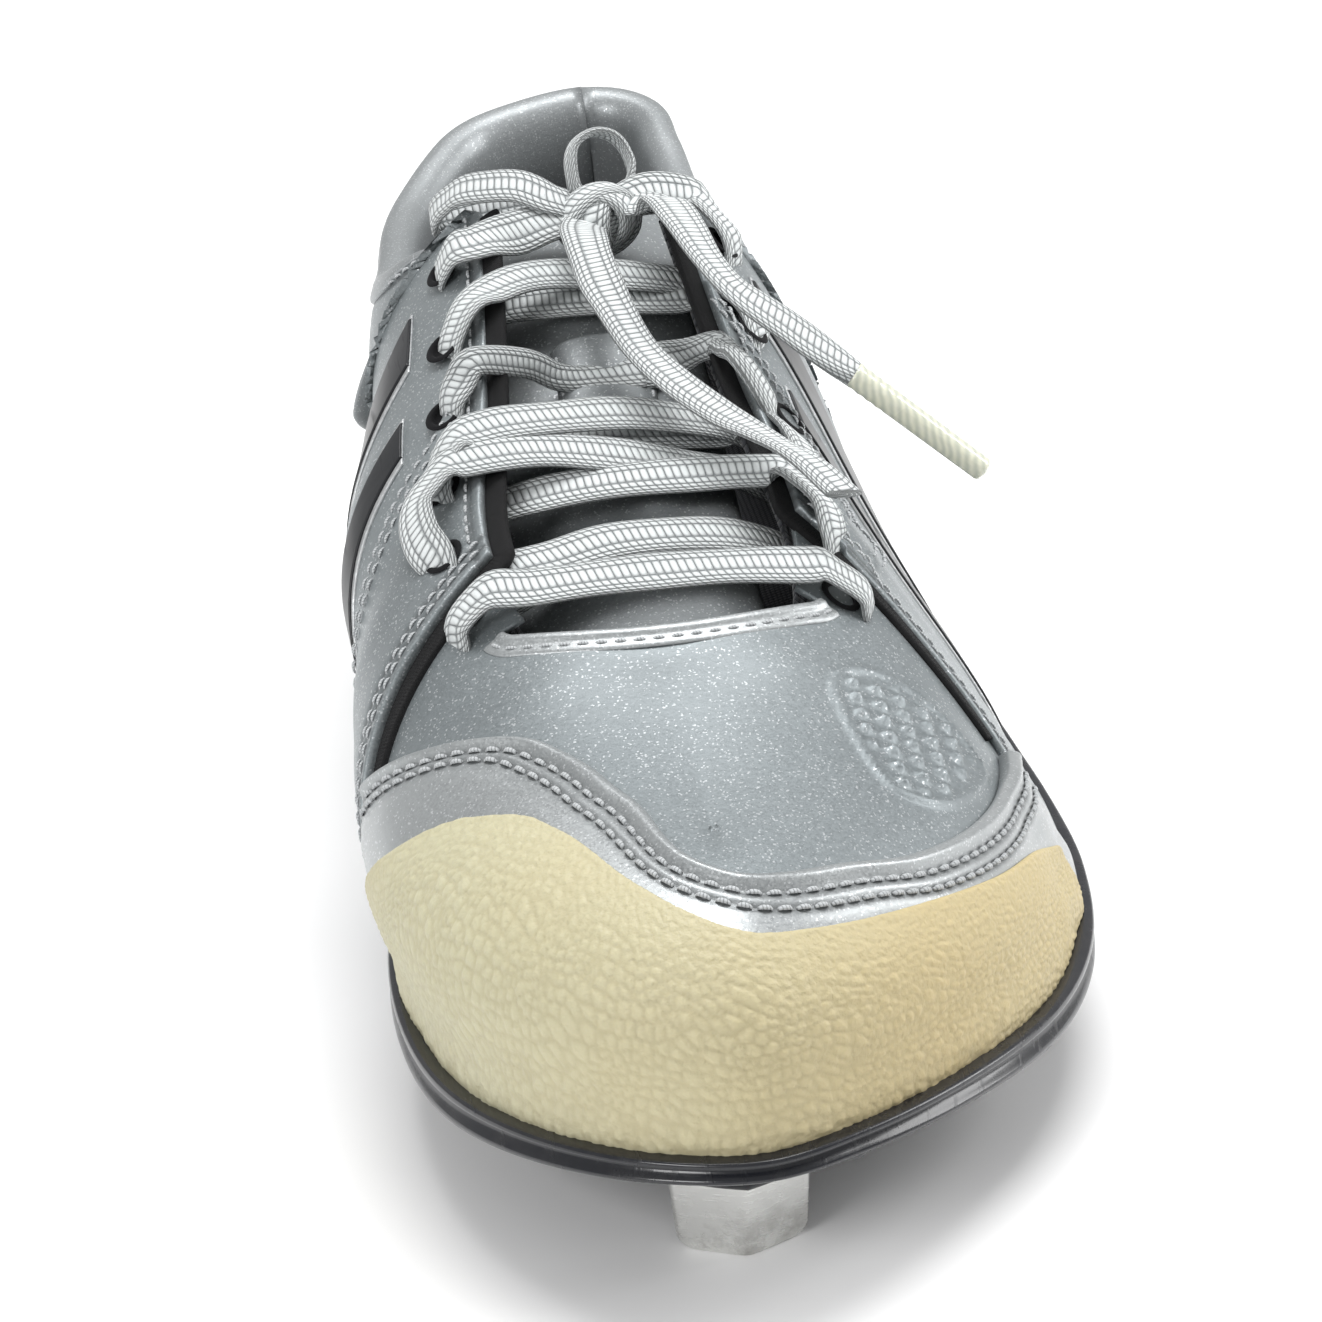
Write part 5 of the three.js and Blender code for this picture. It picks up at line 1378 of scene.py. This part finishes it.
LOOP_MEDIAL = [(107, -8, 98.5), (108, -11.5, 100.5), (107, -16, 102.5), (104, -22, 102), (100, -27, 99),
               (97, -29, 95.5), (96, -26, 94.5), (98, -20, 96), (101, -13.5, 97.5), (104, -8, 97.5)]
ups = [(0, -0.5, 0.8)] * 4 + [(-0.6, -0.3, 0.7), (-1, 0, 0.1), (-0.3, 0.4, -0.8)] + [(0, 0.5, -0.8)] * 3
strand("lace_loop_medial", LOOP_MEDIAL, ups, width=6.6, stands_for=["lace_loop_medial"])
LOOP_REAR = [(105, -5.5, 97), (102.5, -6.5, 99.5), (99, -6.5, 103.5), (95.5, -3.5, 106.3),
             (94.5, 0.5, 105.6), (96, 3, 102.5), (100.5, 2.5, 99), (104, 0.5, 97)]
ups = [(-0.9, -0.3, 0.3), (-0.95, 0.1, 0.3), (-0.9, 0.2, 0.5), (-0.2, 0.4, 0.9), (0.5, 0.4, 0.75),
       (0.95, 0.1, 0.2), (0.9, -0.3, -0.3), (0.9, -0.3, -0.3)]
strand("lace_loop_rear", LOOP_REAR, ups, width=6.2, stands_for=["lace_loop_rear"])

# %% [markdown]
# Two ends hang free from the knot. The lateral one arches over the shoe's edge and ends in a clear
# plastic aglet, with the braid drawn in to meet it. The front one lies down over the strands and
# tucks back under them beside the outer eyelets.

# %% Free ends
END_LATERAL = [(109, 1, 98.4), (113, 5, 99.2), (119, 6, 101.5), (129, 7.5, 100.8), (138, 9.5, 98),
               (145, 13, 94.6), (149, 20.5, 89), (152, 30, 81)]
ups = [(0.2, -0.4, 0.9)] * 3 + [(0.35, -0.35, 0.85), (0.5, -0.35, 0.8), (0.6, -0.4, 0.7),
                                (0.6, -0.5, 0.6), (0.6, -0.5, 0.6)]
drawn_in = [(0, 1, 1), (0.82, 1.02, 1), (0.93, 0.8, 1.6), (1, 0.5, 2.5)]
end_lateral, route_lateral = strand("lace_end_lateral", END_LATERAL, ups,
                                    stands_for=["lace_end_lateral"], scale=drawn_in)
END_FRONT = [(110, -4.5, 96.6), (114, -6.5, 97), (124, -7.5, 98), (134, -7, 95.6), (142, -5.5, 92.4),
             (151, -3, 89), (160, 1, 86.4), (168, 6.5, 83.6), (177, 12, 82.2), (186, 16.5, 81.4),
             (193, 20.5, 78.6)]
ups = [(0.1, -0.4, 0.9)] * 4 + [(0.35, -0.4, 0.8)] * 4 + [(0.5, -0.3, 0.8)] * 3
end_front, route_front = strand("lace_end_front", END_FRONT, ups, stands_for=["lace_end_front"])

tip = place(*np.array(END_LATERAL[-1]))
way = unit(route_lateral[-1] - route_lateral[-4])
share = np.linspace(0, 1, 60)
girth = 2.2 * (1 - 0.05 * share) * np.sqrt(1 - np.clip((share - 0.97) / 0.032, 0, 1) ** 2)
girth = girth + 0.07 * np.sin(share * 90) * (share < 0.3)
centre = tip + way * (share[:, None] * 25.5 - 1.0) * MM
side = np.broadcast_to(unit(np.cross(way, [0, 0, 1.0])), centre.shape)
circle = np.linspace(0, 2 * np.pi, 24, endpoint=False)
section = girth[:, None, None] * np.stack([np.cos(circle), np.sin(circle)], -1)[None] * [1, 0.9]
aglet = sweep("aglet_lateral", (centre, side, np.cross(side, way)), section, aglet_plastic,
              stands_for=["aglet_lateral"])

# %% [markdown]
# The outsole is one moulding. Its grid runs from the heel to the toe, and each row goes once round
# a cross-section: down the outer wall, across the underside, up the inner wall and over the rim.
# The underside's relief is a sum of signed distances: a step that leaves a flat flange round the
# edge, a ring band through the front seats, an X of ribs between them, glossy sunk panels, and
# flow lines where the sole narrows.

# %% Relief of the underside
SPIKES = {"toe": (263, -10, -90), "forefoot_lateral": (225, 22, -50), "forefoot_medial": (224, -26, -115),
          "ball_lateral": (172, 32, 50), "ball_medial": (169, -17, 120), "heel_lateral": (35, 25.5, 45),
          "heel_medial": (40, -11, 135)}
FRAME_CENTRE = (199, 3)
RING = spline([(272, -8), (262, 8), (246, 20), (226, 28), (200, 35.5), (172, 38.5), (152, 33), (132, 17),
               (120, 5), (132, -4), (152, -16), (172, -25), (200, -33), (224, -35), (246, -31),
               (264, -22)], 220, closed=True)[:-1]
WAIST = spline([(92, 6), (87, 22), (72, 25.5), (56, 22), (52, 10), (58, -1), (74, -4), (88, -1)], 60,
               closed=True)[:-1]
FAN = spline([(27, 6), (16, 20), (7, 16), (5, 7), (8, -2), (17, -6)], 48, closed=True)[:-1]


def underside_relief(s, x, edge):
    """Depth in mm below the smooth sole, positive downward, for points edge mm in from the outline."""
    depth = 0.9 * ease(edge, 10.2, 9.0) + 0.5 * np.exp(-(((edge - 10.6) / 0.7) ** 2))
    inside = polygon_inside(s, x, RING)
    arms = np.min([segment_distance(s, x, FRAME_CENTRE, SPIKES[k][:2])
                   for k in SPIKES if "heel" not in k and k != "toe"], 0)
    seats = np.min([np.hypot(s - a, x - b) for a, b, _ in SPIKES.values()], 0)
    front = ease(s, 128, 140)
    depth += front * (1.1 * ease(np.abs(inside + 3), 3.4, 2.2) - 0.5 * ease(np.abs(inside + 3), 1.3, 0.6))
    depth += 1.5 * ease(arms, 5.2, 3.4) * (inside > -3)
    depth -= 1.1 * ease(arms, 2.2, 1.2) * (inside > 0) * ease(seats, 14, 18)
    panel = ease(inside, 3.6, 5.2) * ease(arms, 6.4, 8) * ease(seats, 16, 17.5) * ease(s, 134, 142)
    depth -= 1.1 * panel
    depth += 0.5 * np.exp(-((seats - 16.4) / 0.9) ** 2)
    flow = np.hypot((s - 116) / 26, (x - 3) / 12)
    lines = np.cos(2 * np.pi * (np.abs(x - 3 - 0.08 * (s - 116)) + 0.011 * (s - 116) ** 2) / 3.4)
    depth += 0.55 * lines * ease(flow, 1.15, 0.6) * ease(edge, 9.5, 12)
    waist = polygon_inside(s, x, WAIST)
    depth += 0.7 * np.exp(-(((waist + 1.2) / 1.0) ** 2)) - 1.0 * ease(waist, 0.2, 1.6)
    heel_flow = np.hypot((s - 36) / 9, (x - 6) / 10)
    depth += 0.45 * np.cos(2 * np.pi * np.abs(x - 6.5) / 3.0) * ease(heel_flow, 1.3, 0.7)
    fan = polygon_inside(s, x, FAN)
    split = np.abs(x - 7) * ease(s, 26, 8)
    depth += 0.5 * np.exp(-(((fan + 0.8) / 0.8) ** 2)) - 0.8 * ease(fan, 0.2, 1.2)
    depth += 0.8 * ease(fan, 0.2, 1.2) * ease(split, 1.2, 0.4)
    for bump_s, bump_x in ((279, 4), (273, -30)):
        depth += 1.2 * np.exp(-(np.hypot(s - bump_s, x - bump_x) / 1.9) ** 4)
    return depth * ease(edge, 1.0, 3.5)


# %% Outsole moulding
FLOOR_THICKNESS = 3.6
f = np.linspace(0, 1, 431)
WALL = spline([(8.0, 6.0), (8.0, 1.2), (7.2, 0.0), (4.0, -0.1), (1.2, 0.0), (0.25, -0.35), (0.0, -1.3),
               (0.05, -2.4), (0.9, -3.0), (1.1, -4.6), (0.5, -6.4), (-0.0, -7.6), (0.0, -8.6),
               (0.5, -9.9), (1.5, -10.7)], 30)
share_down = np.clip(-WALL[:, 1] / 10.7, 0, 1)
wall_points = []
for u in (f, 2 - f):
    inset_s, inset_x = edge_at(u[:, None], WALL[None, :, 0])
    outer_s, _ = edge_at(u[:, None], 0 * WALL[None, :, 0])
    height = sole_top(outer_s) - sole_bottom(outer_s)
    outside = sole_top(outer_s) - share_down * (height - 0.3)
    z = np.where(WALL[None, :, 1] > 0, sole_top(outer_s) - WALL[None, :, 1] * 1.3, outside)
    wall_points.append(np.stack([inset_s, inset_x, z], -1))
lateral_low = np.stack(edge_at(f, 3.0), -1)
medial_low = np.stack(edge_at(2 - f, 3.0), -1)
across = np.linspace(0, 1, 126)
across = across + 0.03 * np.sin(2 * np.pi * across) / 2
under = lateral_low[:, None] + (medial_low - lateral_low)[:, None] * across[None, :, None]
rim_line = walk(np.linspace(0, 2, 700))
edge = np.min([np.hypot(under[..., 0] - a, under[..., 1] - b) for a, b in rim_line], 0)
crown = 0.6 * np.sin(np.pi * across)[None] * ease(edge, 8, 24)
depth = underside_relief(under[..., 0], under[..., 1], edge)
under_z = sole_bottom(under[..., 0]) - depth - crown + 0.6 * ease(edge, 4.2, 2.8)
underside = np.concatenate([under, under_z[..., None]], -1)
section = np.concatenate([wall_points[0][:, 1:], underside, wall_points[1][:, :0:-1]], 1)
for k in (1, 0):
    inner = wall_points[k][:, :1].copy()
    inner[..., 2] = sole_bottom(inner[..., 0]) + FLOOR_THICKNESS
    section = np.concatenate([section, inner], 1)
points = in_frame(section)
faces = quads(*points.shape[:2], 0, True, wrap=True)
uv = np.stack([points[..., 0], points[..., 1]], -1)
make("outsole_plate", points, faces, black_plastic, stands_for=["outsole_plate"], uv=uv)
print("outsole grid:", points.shape[:2], "deepest relief", round(float(depth.max()), 2), "mm")

# %% [markdown]
# Short bevelled lugs stand in rows on the flange, and six more round the heel. Each is the same
# small block with its top edges cut away, placed on its row and turned with it.

# %% Traction lugs
LUG_ROWS = [(263, 13, 2, 125), (201, 43.5, 3, 92), (142, 37, 4, 72), (254, -34, 2, 55),
            (194, -41.5, 3, 80), (141, -22, 4, 117), (20, 30.5, 2, 70), (6.5, 14, 2, 30),
            (14, -15.5, 2, -62)]
BLOCK = np.array([(-1, -1, 0), (1, -1, 0), (1, 1, 0), (-1, 1, 0), (-0.96, -0.93, 0.72),
                  (0.96, -0.93, 0.72), (0.96, 0.93, 0.72), (-0.96, 0.93, 0.72), (-0.8, -0.62, 1),
                  (0.8, -0.62, 1), (0.8, 0.62, 1), (-0.8, 0.62, 1)])
BLOCK_SIDES = [(k + r, (k + 1) % 4 + r, (k + 1) % 4 + r + 4, k + r + 4) for r in (0, 4) for k in range(4)]
BLOCK_FACES = np.array(BLOCK_SIDES + [(8, 9, 10, 11), (3, 2, 1, 0)])
LUG_PITCH = 6.5
points, faces = [], []
for s, x, count, degrees in LUG_ROWS:
    way = np.radians(degrees)
    for k in range(count):
        step = (k - (count - 1) / 2) * LUG_PITCH
        middle_s, middle_x = s - step * np.sin(way), x + step * np.cos(way)
        a, b, c = (BLOCK * [3.0, 1.6, 3.2]).T
        ds = a * np.cos(way) - b * np.sin(way)
        dx = a * np.sin(way) + b * np.cos(way)
        faces.append(BLOCK_FACES + 12 * len(points))
        points.append(place(middle_s + ds, middle_x + dx, sole_bottom(middle_s) + 0.6 - c))
lugs = make("traction_lugs", np.concatenate(points), np.concatenate(faces), seat_plastic, weld=False)
bevel = lugs.modifiers.new("soft edges", "BEVEL")
bevel.width = 0.00025
bevel.segments = 2
print("lugs:", len(points))

# %% [markdown]
# Each spike is a moulded seat and a steel blade. A front seat is a six-sided boss with a dished
# face, and its blade is bent in plan, so that it grips in two directions. A heel seat is a rounded
# triangle with a straight blade. The blades' lower corners are round and their edges ground.

# %% Spike seats and blades
SEAT_DROP = 5.5


def seat_surface(s, x, facing, front):
    """Rings of a boss: an n-sided radius cos(pi/n)/cos(angle), softened, times a stepped profile."""
    t = np.linspace(0, 2 * np.pi, 121)[:-1]
    sides = 6 if front else 3
    wedge = np.mod(t, 2 * np.pi / sides) - np.pi / sides
    flat = np.cos(np.pi / sides) / np.cos(wedge)
    radius = (14.0 * (0.35 + 0.65 * flat)) if front else 12.5 * (0.62 + 0.38 * flat)
    profile = spline([(1.12, 1.6), (1.08, 0.2), (1.0, -0.6), (0.93, -2.2), (0.9, -4.2), (0.84, -5.2),
                      (0.76, -5.5), (0.68, -5.3), (0.6, -4.7), (0.4, -4.4), (0.2, -4.3), (0.004, -4.3)],
                     46)
    angle = facing + t[None]
    r = radius[None] * np.minimum(profile[:, :1], 1.12)
    ps, px = s - r * np.sin(angle), x + r * np.cos(angle)
    ledge = 0.5 * ease(np.cos(t)[None], 0.35, 0.8) * ease(profile[:, :1], 0.5, 0.75)
    return place(ps, px, sole_bottom(s) + profile[:, 1:] + ledge * (profile[:, 1:] < -3))


def blade_surface(s, x, facing, front):
    """Bent plate: a stadium section swept across the blade, narrowing to the tip, with round corners."""
    half = 10.0 if front else 8.0
    bend = 5.0 if front else 0.0
    reach = (14 if front else 12) - 6.1
    top = sole_bottom(s) - SEAT_DROP + 1.4
    t = np.sin(np.linspace(-np.pi / 2, np.pi / 2, 61))
    k = np.linspace(0, 2 * np.pi, 41)[:-1]
    vertical = 0.5 + 0.5 * np.sign(np.sin(k)) * np.abs(np.sin(k)) ** 0.3
    thick = np.sign(np.cos(k)) * np.abs(np.cos(k)) ** 0.35
    corner = 2.4 * (1 - np.sqrt(np.clip(1 - np.clip((np.abs(t) - 0.74) / 0.26, 0, 1) ** 2, 0, 1)))
    low = corner[:, None]
    z = low + (top - low) * vertical[None]
    narrowing = 1 - 0.1 * (1 - z / top)
    along = t[:, None] * half * narrowing
    bow = -bend * np.sqrt((t * t + 0.012) / 1.012)[:, None]
    girth = 1.1 * np.sqrt(np.clip(1 - np.clip((np.abs(t) - 0.96) / 0.04, 0, 1) ** 2, 0, 1))[:, None]
    girth = girth * (0.72 + 0.28 * ease(z, 0, 2.5))
    out = reach + bow + girth * thick[None]
    ps = s - out * np.sin(facing) - along * np.cos(facing)
    px = x + out * np.cos(facing) - along * np.sin(facing)
    return place(ps, px, z)


for name, (s, x, degrees) in SPIKES.items():
    facing = np.radians(degrees)
    front = "heel" not in name
    seat = seat_surface(s, x, facing, front)
    make("spike_seat_" + name, seat, quads(*seat.shape[:2], wrap=True), seat_plastic,
         stands_for=["spike_seat_" + name])
    blade = blade_surface(s, x, facing, front)
    make("spike_blade_" + name, blade, quads(*blade.shape[:2], wrap=True), blade_steel,
         stands_for=["spike_blade_" + name])
print("spikes:", len(SPIKES))

# %% [markdown]
# Inside lie the fibre lasting board with its steel shank, a foam wedge under the heel, and the
# loose sockliner, a thin cloth-covered foam bed whose rim turns up round the heel. The board and
# the shank keep their CAD shape with a finer finish, since they are flat sheets. The foam pieces
# are made again with soft edges.

# %% Inside pieces
for name, finish_with in (("shank_plate", shank_steel), ("lasting_board", board)):
    holder = nodes[name].data
    holder.materials.clear()
    holder.materials.append(finish_with)


def bed(name, inset, low, high, stations, finish_with, body="shoe", cup=0.0):
    """Soft slab from side to side of the shoe, with rounded edges and a rim that rises at the heel."""
    f0, f1 = np.interp(stations, HALF_STATION, HALF)
    f = f0 + (f1 - f0) * crowded(150, 0.02)
    lateral, medial = np.stack(edge_at(f, inset), -1), np.stack(edge_at(2 - f, inset), -1)
    w = crowded(60, 0.04)
    flat = lateral[:, None] + (medial - lateral)[:, None] * w[None, :, None]
    p = place(flat[..., 0], flat[..., 1], 0)
    edges = np.min(border_distance(p), 0)
    s = flat[..., 0]
    raise_rim = cup * ease(edges, 12, 1) * ease(s, 120, 60)
    drop = rolled(edges, 1.2)
    swell = 0.25 * np.sin(s / 14) * ease(edges, 2, 12)
    upper = place(s, flat[..., 1], high(s) + raise_rim - drop + swell)
    lower = place(s, flat[..., 1], low(s) + raise_rim * 0.6 + drop * 0.5)
    faces = slab_faces(s.shape, turned=True)
    uv = np.stack([s * MM, flat[..., 1] * MM], -1).reshape(-1, 2)
    points = np.concatenate([upper.reshape(-1, 3), lower.reshape(-1, 3)])
    return make(name, points, faces, finish_with, body, [name], np.concatenate([uv, uv]))


board_top = lambda s: sole_top(s) - 0.5
sock_rise = smooth_table([(0, 4.9), (60, 3.9), (108, 1.6), (120, 0.4)])
wedge_rise = smooth_table([(0, 4.3), (60, 3.3), (105, 0.9)])
wedge = bed("heel_wedge", 14, lambda s: board_top(s) + 0.3, lambda s: board_top(s) + wedge_rise(s),
            (14, 103), foam)
sock = bed("sockliner", 14, lambda s: board_top(s) + sock_rise(s),
           lambda s: board_top(s) + sock_rise(s) + 3.0, (HALF_STATION[0] + 0.5, HALF_STATION[-1] - 0.5),
           sock_cloth, "sockliner", 2.5)

# %% [markdown]
# The floor is plain and pale, and the light is soft: a broad overhead panel a little behind the
# shoe, a fill from the front left, a tall narrow panel at the right, and a pale surround. Gloss
# needs something to reflect, so the panels have clear edges.

# %% Stage and light
floor_data = bpy.data.meshes.new("floor")
floor_data.from_pydata([(-3, -3, 0), (3, -3, 0), (3, 3, 0), (-3, 3, 0)], [], [(0, 1, 2, 3)])
floor = bpy.data.objects.new("floor", floor_data)
bpy.context.scene.collection.objects.link(floor)
floor_paint = bpy.data.materials.new("pale floor")
floor_paint.use_nodes = True
floor_shader = floor_paint.node_tree.nodes["Principled BSDF"]
floor_shader.inputs["Base Color"].default_value = (0.93, 0.93, 0.93, 1)
floor_shader.inputs["Roughness"].default_value = 0.6
floor_data.materials.append(floor_paint)

bpy.context.scene.view_settings.view_transform = "Standard"
world = bpy.data.worlds.new("studio")
bpy.context.scene.world = world
world.use_nodes = True
surround = world.node_tree.nodes["Background"]
surround.inputs["Color"].default_value = (1, 1, 1, 1)
surround.inputs["Strength"].default_value = 0.55
LIGHTS = {"overhead": ((0.1, 0.25, 1.2), (0, -0.02, 0), (0.9, 0.6), 14),
          "front left": ((-0.9, -0.9, 0.75), (0, 0, 0.04), (0.5, 0.5), 8),
          "right edge": ((1.0, 0.1, 0.5), (0, 0, 0.05), (0.3, 0.8), 6)}
for name, (where, aim, size, power) in LIGHTS.items():
    panel = bpy.data.lights.new(name, "AREA")
    panel.shape = "RECTANGLE"
    panel.size, panel.size_y = size
    panel.energy = power
    lamp = bpy.data.objects.new(name, panel)
    lamp.location = where
    lamp.rotation_euler = (Vector(aim) - Vector(where)).to_track_quat("-Z", "Y").to_euler()
    bpy.context.scene.collection.objects.link(lamp)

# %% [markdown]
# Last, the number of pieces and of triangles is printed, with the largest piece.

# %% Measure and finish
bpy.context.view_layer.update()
triangles = {}
for name, piece in pieces.items():
    triangles[name] = sum(len(face.vertices) - 2 for face in piece.data.polygons)
largest = max(triangles, key=triangles.get)
print("pieces:", len(pieces), "triangles:", sum(triangles.values()))
print("largest piece:", largest, triangles[largest])
